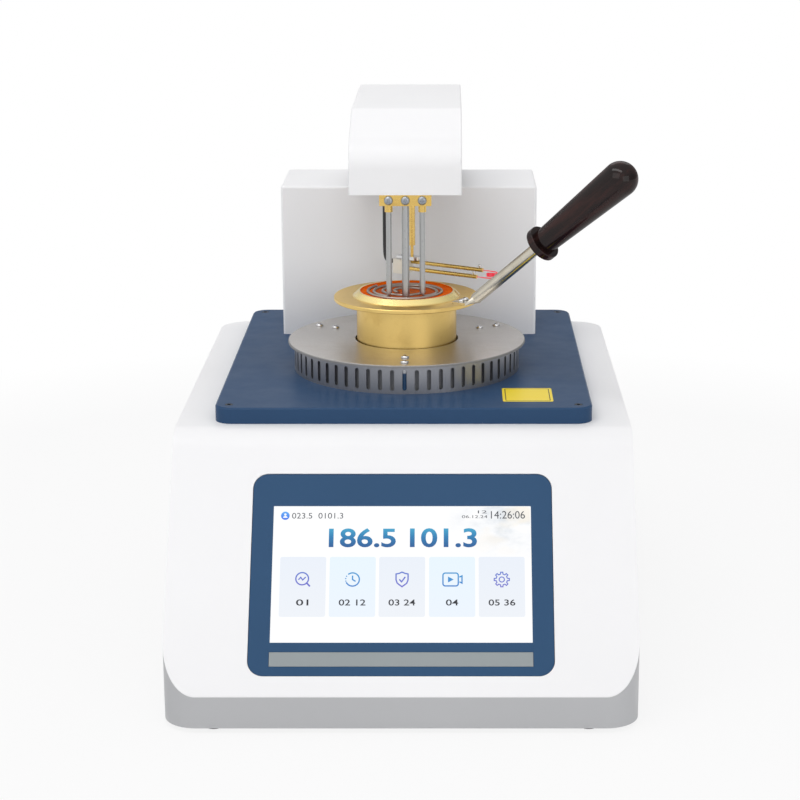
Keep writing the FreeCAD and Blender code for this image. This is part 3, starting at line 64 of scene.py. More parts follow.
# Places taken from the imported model, in metres
CUP = middle("shield_disc")
PLATE_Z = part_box("deck_plate")[1].z
MID_X = middle("deck_plate").x
PIVOT = middle("igniter_shaft")
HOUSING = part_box("housing_walls")
REAR_Y = HOUSING[1].y
HEAD_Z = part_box("head_hood")[0].z
STRIP_Z = HOUSING[0].z + 20.8 * MM

# Angles of the sloping front, the handle and the parked igniter
SLOPE = math.radians(54.0)
HANDLE_AZIMUTH = math.radians(-34.0)
HANDLE_TILT = math.radians(39.7)
PARK_ANGLE = math.radians(-32.0)


def local_frame(place, turn=0.0, axis="Z"):
    """A frame at that place in which lengths are millimetres."""
    return Matrix.Translation(place) @ Matrix.Rotation(turn, 4, axis) @ Matrix.Scale(MM, 4)


ON_SLOPE = local_frame((MID_X, HOUSING[0].y, STRIP_Z), SLOPE, "X")
ON_PLATE = local_frame((CUP.x, CUP.y, PLATE_Z))
ON_HANDLE = local_frame((CUP.x, CUP.y, PLATE_Z), HANDLE_AZIMUTH)
ON_ARM = local_frame((PIVOT.x, PIVOT.y, PLATE_Z), PARK_ANGLE)

# Where finishes change, in metres: heights, places across, and distances from the cup's axis
# or from the hot coil
# CUP_BEVEL spans the polished bevel, which is also painted paler as a highlight
CUP_BEVEL = (PLATE_Z + 49.9 * MM, PLATE_Z + 50.6 * MM)
POST_TOPS = (PLATE_Z + 13.0 * MM, PLATE_Z + 14.2 * MM)
DISC_EDGE = (80.3 * MM, 80.7 * MM)
OIL_BROWNER_SPAN = (19.0 * MM, 26.0 * MM)
COIL = ON_ARM @ Vector((66.0, 0, 58.0))
COIL_GLOW = (4.2 * MM, 8.5 * MM)
PICTURE_FADE_X = (MID_X + 24 * MM, MID_X + 62 * MM)
PICTURE_FADE_Z = (STRIP_Z + 68 * MM, STRIP_Z + 86 * MM)

scene = bpy.context.scene
scene.view_settings.view_transform = "Standard"

# The camera was fitted to edges measured in the photograph. It isn't turned sideways, because
# level edges are level there, so a small shift brings the object to its place in the frame.
CAMERA_PLACE = (MID_X + 29.58 * MM, CUP.y - 1389.40 * MM, PLATE_Z + 348.26 * MM)
CAMERA_DIP = 15.019
CAMERA_LENS = 93.59
CAMERA_SHIFT = -0.0623

cam_data = bpy.data.cameras.new("camera")
cam = bpy.data.objects.new("camera", cam_data)
scene.collection.objects.link(cam)
cam.location = CAMERA_PLACE
cam.rotation_euler = (math.radians(90 - CAMERA_DIP), 0, 0)
cam_data.sensor_width = 36
cam_data.lens = CAMERA_LENS
cam_data.shift_x = CAMERA_SHIFT
cam_data.clip_start = 0.05
cam_data.clip_end = 60
scene.camera = cam


# Material helpers: t is always a node tree
def plug(t, socket, value):
    """Links another node's output to the socket, or sets a number or colour on it."""
    if isinstance(value, bpy.types.NodeSocket):
        t.links.new(value, socket)
    else:
        socket.default_value = value


def wire(t, n, **inputs):
    """Plugs inputs by name, with an underscore for each space."""
    for key, value in inputs.items():
        plug(t, n.inputs[key.replace("_", " ")], value)
    return n


def node(t, kind, **inputs):
    return wire(t, t.nodes.new(kind), **inputs)


def maths(t, operation, *values):
    n = t.nodes.new("ShaderNodeMath")
    n.operation = operation
    for socket, value in zip(n.inputs, values):
        plug(t, socket, value)
    return n.outputs[0]


def vector_maths(t, operation, vector, constant=None):
    n = t.nodes.new("ShaderNodeVectorMath")
    n.operation = operation
    plug(t, n.inputs[0], vector)
    if constant is not None:
        n.inputs[1].default_value = constant
    return n.outputs["Value"]


def mixed(t, fac, a, b):
    """Colour a where fac is 0 and b where it is 1."""
    n = t.nodes.new("ShaderNodeMix")
    n.data_type = "RGBA"
    for index, value in ((0, fac), (6, a), (7, b)):
        plug(t, n.inputs[index], value)
    return n.outputs[2]


def value_map(t, fac, low, high, from_low=0.0, from_high=1.0):
    n = node(t, "ShaderNodeMapRange", Value=fac, From_Min=from_low, From_Max=from_high,
             To_Min=low, To_Max=high)
    return n.outputs[0]


def rise(t, fac, start, end):
    """0 up to start, 1 from end on."""
    return value_map(t, fac, 0.0, 1.0, start, end)


def noise(t, vector, scale, detail=3.0, roughness=0.5):
    n = node(t, "ShaderNodeTexNoise", Vector=vector, Scale=scale, Detail=detail, Roughness=roughness)
    return n.outputs["Fac"]


def linear(colour):
    """An sRGB colour, 0 to 255, as linear RGBA."""
    out = []
    for v in colour:
        v = v / 255.0
        out.append(v / 12.92 if v <= 0.04045 else ((v + 0.055) / 1.055) ** 2.4)
    return (*out, 1.0)


def shade(colour, factor):
    return tuple(min(1.0, c * factor) for c in colour[:3]) + (1.0,)


def ramp(t, fac, stops):
    """A colour ramp of (position, linear colour) stops."""
    n = node(t, "ShaderNodeValToRGB", Fac=fac)
    elements = n.color_ramp.elements
    while len(elements) < len(stops):
        elements.new(0.5)
    for element, (position, colour) in zip(elements, stops):
        element.position = position
        element.color = colour
    return n.outputs[0]


def srgb_ramp(t, fac, stops):
    return ramp(t, fac, [(position, linear(colour)) for position, colour in stops])


def drift(t, fac, base, vary):
    """The base colour, wandering a little darker and lighter with fac."""
    return ramp(t, fac, [(0.3, shade(base, 1 - vary)), (0.7, shade(base, 1 + vary))])


def object_coords(t):
    return t.nodes.new("ShaderNodeTexCoord").outputs["Object"]


def object_xyz(t):
    return node(t, "ShaderNodeSeparateXYZ", Vector=object_coords(t)).outputs


def coords(t, scale=(1, 1, 1)):
    return node(t, "ShaderNodeMapping", Vector=object_coords(t), Scale=scale).outputs["Vector"]


def coords_along_handle(t, stretch):
    """Coordinates in the handle's frame, with features made longer along it."""
    turn = Matrix.Rotation(HANDLE_AZIMUTH, 3, "Z") @ Matrix.Rotation(-HANDLE_TILT, 3, "Y")
    n = t.nodes.new("ShaderNodeMapping")
    n.vector_type = "TEXTURE"
    wire(t, n, Vector=object_coords(t), Location=CUP, Rotation=turn.to_euler(), Scale=(stretch, 1, 1))
    return n.outputs["Vector"]


def round_cup(t):
    """Distance from the cup's axis, turn about it, and height."""
    x, y, z = object_xyz(t)
    dx = maths(t, "SUBTRACT", x, CUP.x)
    dy = maths(t, "SUBTRACT", y, CUP.y)
    squares = maths(t, "ADD", maths(t, "MULTIPLY", dx, dx), maths(t, "MULTIPLY", dy, dy))
    return maths(t, "SQRT", squares), maths(t, "ARCTAN2", dy, dx), z


def coords_round_cup(t):
    """Coordinates round the cup's axis, drawn out into the fine rings that a lathe leaves."""
    radius, turn, z = round_cup(t)
    drawn_out = maths(t, "MULTIPLY", turn, 0.02)
    return node(t, "ShaderNodeCombineXYZ", X=radius, Y=drawn_out, Z=z).outputs[0]


def new_material(name):
    m = bpy.data.materials.new(name)
    m.use_nodes = True
    t = m.node_tree
    t.nodes.clear()
    out = t.nodes.new("ShaderNodeOutputMaterial")
    bsdf = t.nodes.new("ShaderNodeBsdfPrincipled")
    t.links.new(bsdf.outputs[0], out.inputs[0])
    return m, t, bsdf


def bumped(t, bsdf, height, strength, distance):
    bump = node(t, "ShaderNodeBump", Height=height, Strength=strength, Distance=distance)
    t.links.new(bump.outputs[0], bsdf.inputs["Normal"])


def painted(name, colour, rough=0.4, vary=0.04, grain=0.06, grain_scale=900.0, specular=0.5):
    """Powder coat or moulded plastic: faint drift of tone, fine orange peel, uneven shine."""
    m, t, bsdf = new_material(name)
    v = coords(t)
    smudge = noise(t, v, 38.0, 5.0, 0.6)
    wire(t, bsdf, Base_Color=drift(t, noise(t, v, 9.0), linear(colour), vary),
         Roughness=value_map(t, smudge, rough - 0.05, rough + 0.07, 0.3, 0.7),
         Specular_IOR_Level=specular)
    bumped(t, bsdf, noise(t, v, grain_scale, 2.0), grain, 0.0002)
    return m


def metal_parts(name, colour, rough=0.3, vary=0.05, brush=(1, 1, 1), scale=400.0, bump=0.03,
                spread=0.11, vector=None, tint=None):
    """Bare metal with fine lines one way and a cloudy tone, its colour and roughness still open."""
    m, t, bsdf = new_material(name)
    lines = noise(t, vector(t) if vector else coords(t, brush), scale, 4.0, 0.7)
    base = linear(colour)
    tone = drift(t, noise(t, coords(t), 26.0, 4.0), base, vary)
    tone = mixed(t, value_map(t, lines, 0.0, 0.5, 0.35, 0.75), tone, shade(base, 1 - 2.2 * vary))
    if tint:
        stain = noise(t, coords(t), 55.0, 5.0, 0.65)
        tone = mixed(t, value_map(t, stain, 0.0, 0.55, 0.5, 0.75), tone, linear(tint))
    roughness = value_map(t, lines, max(0.02, rough - spread), rough + spread, 0.25, 0.75)
    bsdf.inputs["Metallic"].default_value = 1.0
    bumped(t, bsdf, lines, bump, 0.0001)
    return m, t, bsdf, tone, roughness


def metal(name, colour, **finish):
    m, t, bsdf, tone, roughness = metal_parts(name, colour, **finish)
    wire(t, bsdf, Base_Color=tone, Roughness=roughness)
    return m


def turned_brass():
    """The cup: satin all over, with the bevel of its rim polished, and painted paler there as a
    highlight.
    """
    m, t, bsdf, satin, roughness = metal_parts(
        "brass_turned", (224, 193, 120), rough=0.4, vary=0.035, scale=2600, bump=0.02, spread=0.08,
        vector=coords_round_cup, tint=(198, 161, 90))
    polish_and_painted_highlight = rise(t, object_xyz(t)[2], *CUP_BEVEL)
    # The bevel is less rough, and its colour is mixed towards pale brass as a painted highlight
    wire(t, bsdf, Roughness=maths(t, "MULTIPLY", roughness, value_map(t, polish_and_painted_highlight, 1.0, 0.42)),
         Base_Color=mixed(t, maths(t, "MULTIPLY", polish_and_painted_highlight, 0.9), satin, linear((253, 232, 160))))
    return m


def disc_metal():
    """The shield's disc: rolled sheet with a fine fleck, its turned edge left dull."""
    m, t, bsdf, rolled, roughness = metal_parts(
        "shield_metal", (207, 204, 201), rough=0.36, vary=0.04, brush=(18, 260, 260), scale=8,
        bump=0.05, spread=0.07, tint=(189, 184, 176))
    grain = noise(t, coords(t), 2600.0, 2.0, 0.6)
    fleck = mixed(t, value_map(t, grain, 0.0, 0.4, 0.5, 0.72), rolled, linear((150, 148, 146)))
    edge = rise(t, round_cup(t)[0], *DISC_EDGE)
    wire(t, bsdf, Base_Color=mixed(t, edge, fleck, linear((150, 149, 149))),
         Roughness=maths(t, "ADD", roughness, maths(t, "MULTIPLY", edge, 0.3)))
    return m


def post_paint():
    """The posts under the disc: the deck's blue paint, with bare metal tops."""
    m, t, bsdf = new_material("post_paint")
    bare = rise(t, object_xyz(t)[2], *POST_TOPS)
    cloud = noise(t, coords(t), 300.0, 3.0)
    paint = srgb_ramp(t, cloud, [(0.3, (34, 74, 112)), (0.7, (40, 82, 122))])
    wire(t, bsdf, Base_Color=mixed(t, bare, paint, linear((226, 226, 228))),
         Roughness=value_map(t, cloud, 0.3, 0.42, 0.3, 0.7),
         Metallic=maths(t, "MULTIPLY", bare, 0.6))
    return m


def grip_lacquer():
    """Dark turned wood under clear lacquer: long streaks, fine pores and a soft shine."""
    m, t, bsdf = new_material("grip_lacquer")
    streaks = noise(t, coords_along_handle(t, 9), 130.0, 4.0, 0.6)
    pores = noise(t, coords_along_handle(t, 22), 1500.0, 3.0, 0.7)
    wood = srgb_ramp(t, streaks, [(0.3, (18, 11, 11)), (0.48, (30, 18, 17)), (0.66, (54, 29, 26))])
    in_pores = value_map(t, pores, 0.0, 0.7, 0.5, 0.72)
    wire(t, bsdf, Base_Color=mixed(t, in_pores, wood, linear((15, 9, 9))),
         Roughness=value_map(t, pores, 0.26, 0.44, 0.3, 0.7), Specular_IOR_Level=0.0,
         Coat_Weight=0.5, Coat_Roughness=0.06)
    bumped(t, bsdf, pores, 0.08, 0.0002)
    return m


def hot_metal():
    """Glowing wire: bright red in the coil, duller towards the cold ends."""
    m, t, bsdf = new_material("hot_wire")
    from_coil = vector_maths(t, "DISTANCE", object_coords(t), COIL)
    heat = value_map(t, from_coil, 1.0, 0.0, *COIL_GLOW)
    flicker = value_map(t, noise(t, coords(t), 900.0, 2.0), 0.85, 1.1)
    glow = srgb_ramp(t, maths(t, "MULTIPLY", heat, flicker),
                     [(0.0, (214, 120, 128)), (0.5, (228, 74, 88)), (1.0, (226, 26, 52))])
    wire(t, bsdf, Emission_Color=glow, Emission_Strength=0.95, Base_Color=(0.05, 0.012, 0.015, 1),
         Roughness=0.5)
    return m


def oil_liquid():
    """Orange sample oil: clear orange at the rim, browner and duller in blotches towards the middle,
    with a still face.
    """
    m, t, bsdf = new_material("oil_liquid")
    swirl = noise(t, coords(t), 120.0, 3.0, 0.6)
    clear = srgb_ramp(t, swirl, [(0.3, (218, 84, 2)), (0.55, (236, 98, 4)), (0.75, (242, 118, 14))])
    # Towards the middle the colour turns browner, in blotches
    deep = value_map(t, round_cup(t)[0], 0.62, 0.0, *OIL_BROWNER_SPAN)
    cloud = value_map(t, noise(t, coords(t), 420.0, 3.0), 0.45, 1.0, 0.35, 0.6)
    browner_middle = maths(t, "MULTIPLY", deep, cloud)
    wire(t, bsdf, Base_Color=mixed(t, browner_middle, clear, linear((150, 92, 62))),
         Roughness=value_map(t, swirl, 0.16, 0.26, 0.3, 0.7), IOR=1.47, Specular_IOR_Level=0.0,
         Coat_Weight=0.06, Coat_Roughness=0.1)
    bumped(t, bsdf, noise(t, coords(t), 90.0, 2.0), 0.05, 0.001)
    return m


# A lit surface of the screen, apart from the colour of its light
SCREEN_FACE = {"Emission_Strength": 0.97, "Base_Color": (0.02, 0.02, 0.022, 1), "Roughness": 0.3,
               "Specular_IOR_Level": 0.25}


def lit(name, stops, low, high):
    """A part of the screen's picture with its own light, graded between two heights."""
    m, t, bsdf = new_material(name)
    uneven = value_map(t, noise(t, coords(t), 1400.0, 1.0), -0.02, 0.02)
    up = maths(t, "ADD", rise(t, object_xyz(t)[2], low, high), uneven)
    wire(t, bsdf, Emission_Color=srgb_ramp(t, up, stops), **SCREEN_FACE)
    return m


def lit_up(name, stops, low, high):
    """A lit material graded between two places, in millimetres along the slope."""
    per_mm = math.sin(SLOPE) * MM
    return lit(name, stops, STRIP_Z + low * per_mm, STRIP_Z + high * per_mm)


def pale_picture():
    """The faint picture in the screen's upper corner: pale clouds that fade out."""
    m, t, bsdf = new_material("screen_picture")
    v = coords(t, (1, 1.6, 1.6))
    pale = srgb_ramp(t, noise(t, v, 75.0, 5.0, 0.55),
                     [(0.35, (222, 228, 234)), (0.52, (246, 248, 250)), (0.66, (255, 255, 255))])
    warm = value_map(t, noise(t, v, 48.0, 2.0, 0.5), 0.0, 0.6, 0.52, 0.66)
    cream = mixed(t, warm, pale, linear((250, 240, 222)))
    x, _, z = object_xyz(t)
    fade = maths(t, "MULTIPLY", rise(t, x, *PICTURE_FADE_X), rise(t, z, *PICTURE_FADE_Z))
    shown = mixed(t, fade, linear((254, 254, 255)), cream)
    wire(t, bsdf, Emission_Color=shown, **SCREEN_FACE)
    return m


# Paints, plastics and sheets
WHITE = painted("white_coat", (245, 245, 246), rough=0.46, vary=0.008, grain=0.05, specular=0.35)
GREY = painted("grey_coat", (189, 190, 192), rough=0.42, vary=0.012, specular=0.3)
BEZEL = painted("bezel_paint", (52, 83, 117), vary=0.03, grain=0.05, specular=0.1)
DECK = painted("deck_paint", (50, 77, 110), rough=0.36, vary=0.035, grain=0.03, grain_scale=1200,
               specular=0.08)
RUBBER = painted("rubber", (14, 14, 15), rough=0.75, vary=0.15, grain=0.25, grain_scale=1500,
                 specular=0.2)
BLACK_PLASTIC = painted("black_plastic", (26, 26, 28), rough=0.45, vary=0.1, grain=0.2, grain_scale=1200)
MARK_WHITE = painted("mark_ink", (226, 226, 222), rough=0.5, vary=0.03, grain=0.1)
LEAD = painted("lead_sleeve", (38, 39, 42), rough=0.5, vary=0.12, grain=0.15, grain_scale=2000)
STRIP = painted("strip_foil", (146, 153, 155), rough=0.36, vary=0.02, grain=0.05, grain_scale=2200)
YELLOW = painted("yellow_film", (250, 222, 34), rough=0.36, vary=0.02, grain=0.04, grain_scale=700)
INK = painted("black_ink", (52, 46, 26), rough=0.5, vary=0.1, grain=0.05)
CERAMIC = painted("ceramic_fired", (248, 243, 232), rough=0.75, grain=0.3, grain_scale=1600)
FIBRE = painted("fibre_board", (206, 200, 186), rough=0.9, vary=0.08, grain=0.6, grain_scale=1400)
BOARD = painted("board_laminate", (22, 84, 48), rough=0.35, vary=0.1, grain=0.05)
LINER = painted("liner_sheet", (150, 151, 154), rough=0.5, vary=0.06, grain=0.1, grain_scale=1400,
                specular=0.3)

# Metals
BRASS_PLAIN = metal("brass_plain", (220, 186, 108), rough=0.27, tint=(180, 140, 74))
# The shield's band: brushed up and down, its grey painted darker than the disc's as shade and reflection
# of the dark deck it faces
BAND_PAINTED_SHADE = metal("shield_band_painted_shade", (156, 157, 162), rough=0.42, brush=(60, 60, 400), scale=6,
             bump=0.05, spread=0.07)
STEEL = metal("probe_steel", (170, 171, 171), rough=0.33, vary=0.03, brush=(1, 1, 0.1), scale=1500,
              bump=0.02)
SPIRAL = metal("electrode_steel", (170, 161, 154), rough=0.42, vary=0.06, scale=900, bump=0.04)
SCREW = metal("screw_steel", (205, 205, 206), rough=0.16, vary=0.04, spread=0.06)
GREY_SCREW = metal("screw_passivated", (158, 162, 168), vary=0.06, spread=0.08)
DARK_SCREW = metal("black_oxide", (58, 64, 74), rough=0.42, vary=0.1)
ROD = metal("ground_rod", (205, 207, 210), rough=0.12, vary=0.03, bump=0.01, spread=0.05)
MILLED = metal("milled_aluminium", (196, 197, 199), rough=0.35, brush=(30, 1, 1))
SHEET = metal("zinc_sheet", (168, 170, 172), rough=0.4, vary=0.07)
HEATER = metal("heater_iron", (70, 66, 62), rough=0.6, vary=0.2, bump=0.2)
NICKEL = metal("tube_nickel", (204, 198, 184), rough=0.24, vary=0.03, scale=1700, bump=0.02,
               spread=0.06, vector=lambda t: coords_along_handle(t, 40), tint=(176, 166, 140))
SCREEN = lit("screen_lit", [(0.0, (253, 254, 255)), (1.0, (255, 255, 255))], HOUSING[0].z, PLATE_Z)

# Each node's material goes by its slot in the record, unless it has one of its own
BY_SLOT = {
    "white_paint": WHITE, "grey_paint": GREY, "tray_metal": SHEET, "rubber_black": RUBBER,
    "screw_steel": SCREW, "dark_screw": DARK_SCREW, "bezel_blue": BEZEL, "strip_grey": STRIP,
    "frame_black": BLACK_PLASTIC, "board_green": BOARD, "supply_metal": SHEET, "deck_blue": DECK,
    "shield_metal": disc_metal(), "heater_metal": HEATER, "insulation": FIBRE, "steel_rod": ROD,
    "block_metal": MILLED, "motor_black": BLACK_PLASTIC, "probe_steel": STEEL, "brass": BRASS_PLAIN,
    "ceramic_white": CERAMIC, "hot_wire": hot_metal(), "lead_black": LEAD, "grip_brown": grip_lacquer(),
    "plastic_black": BLACK_PLASTIC, "screen_glass": SCREEN,
}
OWN = {"test_cup": turned_brass(), "shield_band": BAND_PAINTED_SHADE, "handle_strap": NICKEL,
       "outer_electrode": SPIRAL, "inner_electrode": SPIRAL, "shield_posts": post_paint()}
slots = {p["node"]: p["material_slot"] for p in frame["record"]["subparts"]}
for name, obj in frame["nodes"].items():
    obj.data.materials.clear()
    obj.data.materials.append(OWN.get(name, BY_SLOT[slots[name]]))


# Mesh helpers
def add_piece(name, mesh, material, body, replaced=()):
    obj = bpy.data.objects.new(name, mesh)
    scene.collection.objects.link(obj)
    mesh.materials.append(material)
    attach(obj, body)
    if replaced:
        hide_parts(*replaced)


def finished(bm, name, matrix=None, sharp=35.0):
    """The bmesh as a mesh, moved by the matrix and smooth except along its sharp edges."""
    if matrix is not None:
        bmesh.ops.transform(bm, matrix=matrix, verts=bm.verts)
    bmesh.ops.recalc_face_normals(bm, faces=bm.faces)
    for face in bm.faces:
        face.smooth = True
    for edge in bm.edges:
        if len(edge.link_faces) == 2 and edge.calc_face_angle(0.0) > math.radians(sharp):
            edge.smooth = False
    mesh = bpy.data.meshes.new(name)
    bm.to_mesh(mesh)
    bm.free()
    return mesh


def evaluated(name, data, modifier=None):
    """What a curve or a mesh with one modifier becomes, as a mesh."""
    holder = bpy.data.objects.new(name, data)
    scene.collection.objects.link(holder)
    if modifier:
        modifier(holder)
    bpy.context.view_layer.update()
    final = holder.evaluated_get(bpy.context.evaluated_depsgraph_get())
    made = bpy.data.meshes.new_from_object(final)
    bpy.data.objects.remove(holder)
    return made


def cut(mesh, tool):
    """The mesh without the tool's space, by an exact boolean."""
    cutter = bpy.data.objects.new("cutter", tool)
    scene.collection.objects.link(cutter)

    def boolean(holder):
        mod = holder.modifiers.new("cut", "BOOLEAN")
        mod.operation = "DIFFERENCE"
        mod.solver = "EXACT"
        mod.object = cutter

    made = evaluated("to_cut", mesh, boolean)
    bpy.data.objects.remove(cutter)
    return made


def bridge(bm, rings):
    """Faces between rings of points. A ring may be one point repeated."""
    count = len(rings[0])
    for one, two in zip(rings, rings[1:]):
        for i in range(count):
            j = (i + 1) % count
            corners = []
            for v in (one[i], one[j], two[j], two[i]):
                if v not in corners:
                    corners.append(v)
            bm.faces.new(corners)


def lathe(bm, profile, count):
    """Turns (radius, z) corners, from the axis back to the axis, round Z."""
    rings = []
    for radius, z in profile:
        if radius == 0:
            rings.append([bm.verts.new((0, 0, z))] * count)
        else:
            turns = [2 * math.pi * i / count for i in range(count)]
            rings.append([bm.verts.new((radius * math.cos(a), radius * math.sin(a), z)) for a in turns])
    bridge(bm, rings)


def slab(bm, outline, low, high):
    """A flat plate between two levels from its outline's (x, y) corners."""
    under = [bm.verts.new((x, y, low)) for x, y in outline]
    over = [bm.verts.new((x, y, high)) for x, y in outline]
    bm.faces.new(under[::-1])
    bm.faces.new(over)
    for i in range(len(outline)):
        j = (i + 1) % len(outline)
        bm.faces.new((under[i], under[j], over[j], over[i]))


def ribbon(bm, line, width, low, high, closed=False):
    """A flat line of one width with mitred corners."""
    count = len(line)
    left, right = [], []
    for i, (x, y) in enumerate(line):
        before = line[(i - 1) % count] if closed or i else None
        after = line[(i + 1) % count] if closed or i < count - 1 else None
        ways = []
        if before is not None:
            ways.append(Vector((x - before[0], y - before[1])).normalized())
        if after is not None:
            ways.append(Vector((after[0] - x, after[1] - y)).normalized())
        way = sum(ways, Vector((0, 0))).normalized()
        side = Vector((-way.y, way.x))
        stretch = 1 / max(0.4, abs(side.dot(Vector((-ways[0].y, ways[0].x)))))
        step = side * (width / 2 * stretch)
        left.append((x + step.x, y + step.y))
        right.append((x - step.x, y - step.y))
    rows = [[bm.verts.new((x, y, z)) for x, y in row]
            for row, z in ((left, low), (right, low), (right, high), (left, high))]
    for one, two in zip(rows, rows[1:] + rows[:1]):
        for i in range(count if closed else count - 1):
            j = (i + 1) % count
            bm.faces.new((one[i], one[j], two[j], two[i]))
    if not closed:
        for i in (0, count - 1):
            bm.faces.new([row[i] for row in rows])


def oblong(left, bottom, right, top):
    return [(left, bottom), (right, bottom), (right, top), (left, top)]


def circle(x, y, radius, count=40, start=0.0, sweep=360.0):
    """Points round a circle, or along an arc of it with both ends."""
    steps = count if abs(sweep) >= 360 else count - 1
    return [(x + radius * math.cos(math.radians(start + sweep * i / steps)),
             y + radius * math.sin(math.radians(start + sweep * i / steps))) for i in range(count)]


def rounded(x, y, width, height, radius, steps=6):
    """The outline of a rectangle with rounded corners."""
    points = []
    for turn, sx, sy in ((0, 1, 1), (90, -1, 1), (180, -1, -1), (270, 1, -1)):
        cx = x + sx * (width / 2 - radius)
        cy = y + sy * (height / 2 - radius)
        points += circle(cx, cy, radius, steps, turn, 90)
    return points


def figures(text, x, y, width, height, low, high, bold=0.0):
    """Plain numerals as a mesh, fitted into a place of that width and height, centred on x, y."""
    curve = bpy.data.curves.new("figures", "FONT")
    curve.body = text
    curve.extrude = 0.1
    curve.offset = bold
    curve.resolution_u = 5
    flat = evaluated("figures", curve)
    xs = [v.co.x for v in flat.vertices]
    ys = [v.co.y for v in flat.vertices]
    wide = width / (max(xs) - min(xs))
    tall = height / (max(ys) - min(ys))
    mid_x = (max(xs) + min(xs)) / 2
    mid_y = (max(ys) + min(ys)) / 2
    for v in flat.vertices:
        v.co = (x + (v.co.x - mid_x) * wide, y + (v.co.y - mid_y) * tall,
                high if v.co.z > 0 else low)
    return flat


# Screws with domed heads and cross recesses: head radius and height, shank radius and length,
# in millimetres
SHIELD_SCREW = (2.7, 1.7, 1.5, 10.0)
STRAP_SCREW = (2.2, 1.7, 1.4, 4.2)
BRACKET_SCREW = (3.0, 2.2, 1.4, 1.0)
BLOCK_SCREW = (1.9, 1.2, 1.0, 7.0)
SET_SCREW = (1.15, 1.4, 0.6, 1.9)
FAN_SCREW = (2.6, 1.3, 1.3, 1.6)

# The head's rim and the power that rounds its dome, and the recess's reach, half width, floor
# and taper, as shares of the head
HEAD_SIDES = 40
DOME_RINGS = 9
RIM_SHARE = 0.3
DOME_POWER = 0.62
REACH_SHARE = 0.62
HALF_WIDTH_SHARE = 0.17
FLOOR_SHARE = 0.45
TAPER_SHARE = 0.7

# Their places, in millimetres of the frame that each is in
POST_ANGLES = (-90, 30, 150)
SHIELD_SCREW_RADII = (58.0, 71.5)
DISC_TOP = 20.0
STRAP_SCREW_PLACES = [(46.6, -2.6, 51.4), (46.6, 2.6, 51.4)]
BRACKET_SCREW_XS = (-11.2, 0.0, 11.2)
BLOCK_SCREW_PLACE = (-6.9, 0, 64.6)
SET_SCREW_PLACES = [(53.7, -4.0, 58.9), (53.7, 4.0, 62.2)]
FAN_SCREW_OFFSET = 25.0


def screw_mesh(head, height, shank, length):
    """One pan-head screw, its head standing on z = 0."""
    profile = [(0, -length), (shank * 0.8, -length), (shank, -length + shank * 0.4), (shank, 0),
               (head * 0.93, 0), (head, height * 0.1), (head, height * RIM_SHARE)]
    for i in range(1, DOME_RINGS):
        turn = math.radians(90 * i / DOME_RINGS)
        dome_share = RIM_SHARE + (1 - RIM_SHARE) * math.sin(turn)
        profile.append((head * math.cos(turn) ** DOME_POWER, height * dome_share))
    profile.append((0, height))
    bm = bmesh.new()
    lathe(bm, profile, HEAD_SIDES)
    body = finished(bm, "screw_body")
    arm, wide, deep = head * REACH_SHARE, head * HALF_WIDTH_SHARE, height * FLOOR_SHARE
    plus = [(wide, wide), (wide, arm), (-wide, arm), (-wide, wide), (-arm, wide), (-arm, -wide),
            (-wide, -wide), (-wide, -arm), (wide, -arm), (wide, -wide), (arm, -wide), (arm, wide)]
    bm = bmesh.new()
    slab(bm, plus, deep, height * 2)
    for v in bm.verts:
        if v.co.z < height:
            v.co.x *= TAPER_SHARE
            v.co.y *= TAPER_SHARE
    return cut(body, finished(bm, "screw_recess"))


def screw_set(name, size, places, body, replaced=(), material=SCREW):
    """Screws of one size at several placements, each turned its own way, as one piece."""
    master = screw_mesh(*size)
    bm = bmesh.new()
    for i, place in enumerate(places):
        one = master.copy()
        one.transform(place @ Matrix.Rotation(math.radians(37 + 71 * i), 4, "Z"))
        bm.from_mesh(one)
    add_piece(name, finished(bm, name), material, body, replaced)


def at(frame_matrix, *place):
    return frame_matrix @ Matrix.Translation(place)


FORWARD = math.radians(90)
REARWARD = math.radians(-90)

on_posts = []
for angle in POST_ANGLES:
    for radius in SHIELD_SCREW_RADII:
        x = radius * math.cos(math.radians(angle))
        y = radius * math.sin(math.radians(angle))
        on_posts.append(at(ON_PLATE, x, y, DISC_TOP))
screw_set("shield_screws_dressed", SHIELD_SCREW, on_posts, "base", ["shield_screws"])

on_strap = [at(ON_HANDLE, *place) for place in STRAP_SCREW_PLACES]
screw_set("strap_screws_dressed", STRAP_SCREW, on_strap, "cup", ["strap_screws"])

bracket_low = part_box("probe_bracket")[0]
bracket_z = (bracket_low.z + HEAD_Z) / 2
on_bracket = [local_frame((MID_X + x * MM, bracket_low.y, bracket_z), FORWARD, "X")
              for x in BRACKET_SCREW_XS]
screw_set("bracket_screws_dressed", BRACKET_SCREW, on_bracket, "head", ["bracket_screws"], GREY_SCREW)

on_block = [at(ON_ARM, *BLOCK_SCREW_PLACE)]
screw_set("block_screw_dressed", BLOCK_SCREW, on_block, "igniter", ["block_screw"])
on_tube = [at(ON_ARM, *place) for place in SET_SCREW_PLACES]
screw_set("tube_set_screws_dressed", SET_SCREW, on_tube, "igniter", ["tube_set_screws"])


# The lead screw's thread, cut into the plain rod between two smooth ends. The groove's half
# width and each flank are shares of half a pitch.
THREAD_PITCH = 3.0 * MM
THREAD_DEPTH = 0.75 * MM
GROOVE_SHARE = 0.62
FLANK_SHARE = 0.24
THREAD_POINTS = 36
RINGS_PER_TURN = 12
SMOOTH_END = 2 * MM


def clamped(value):
    return min(1.0, max(0.0, value))


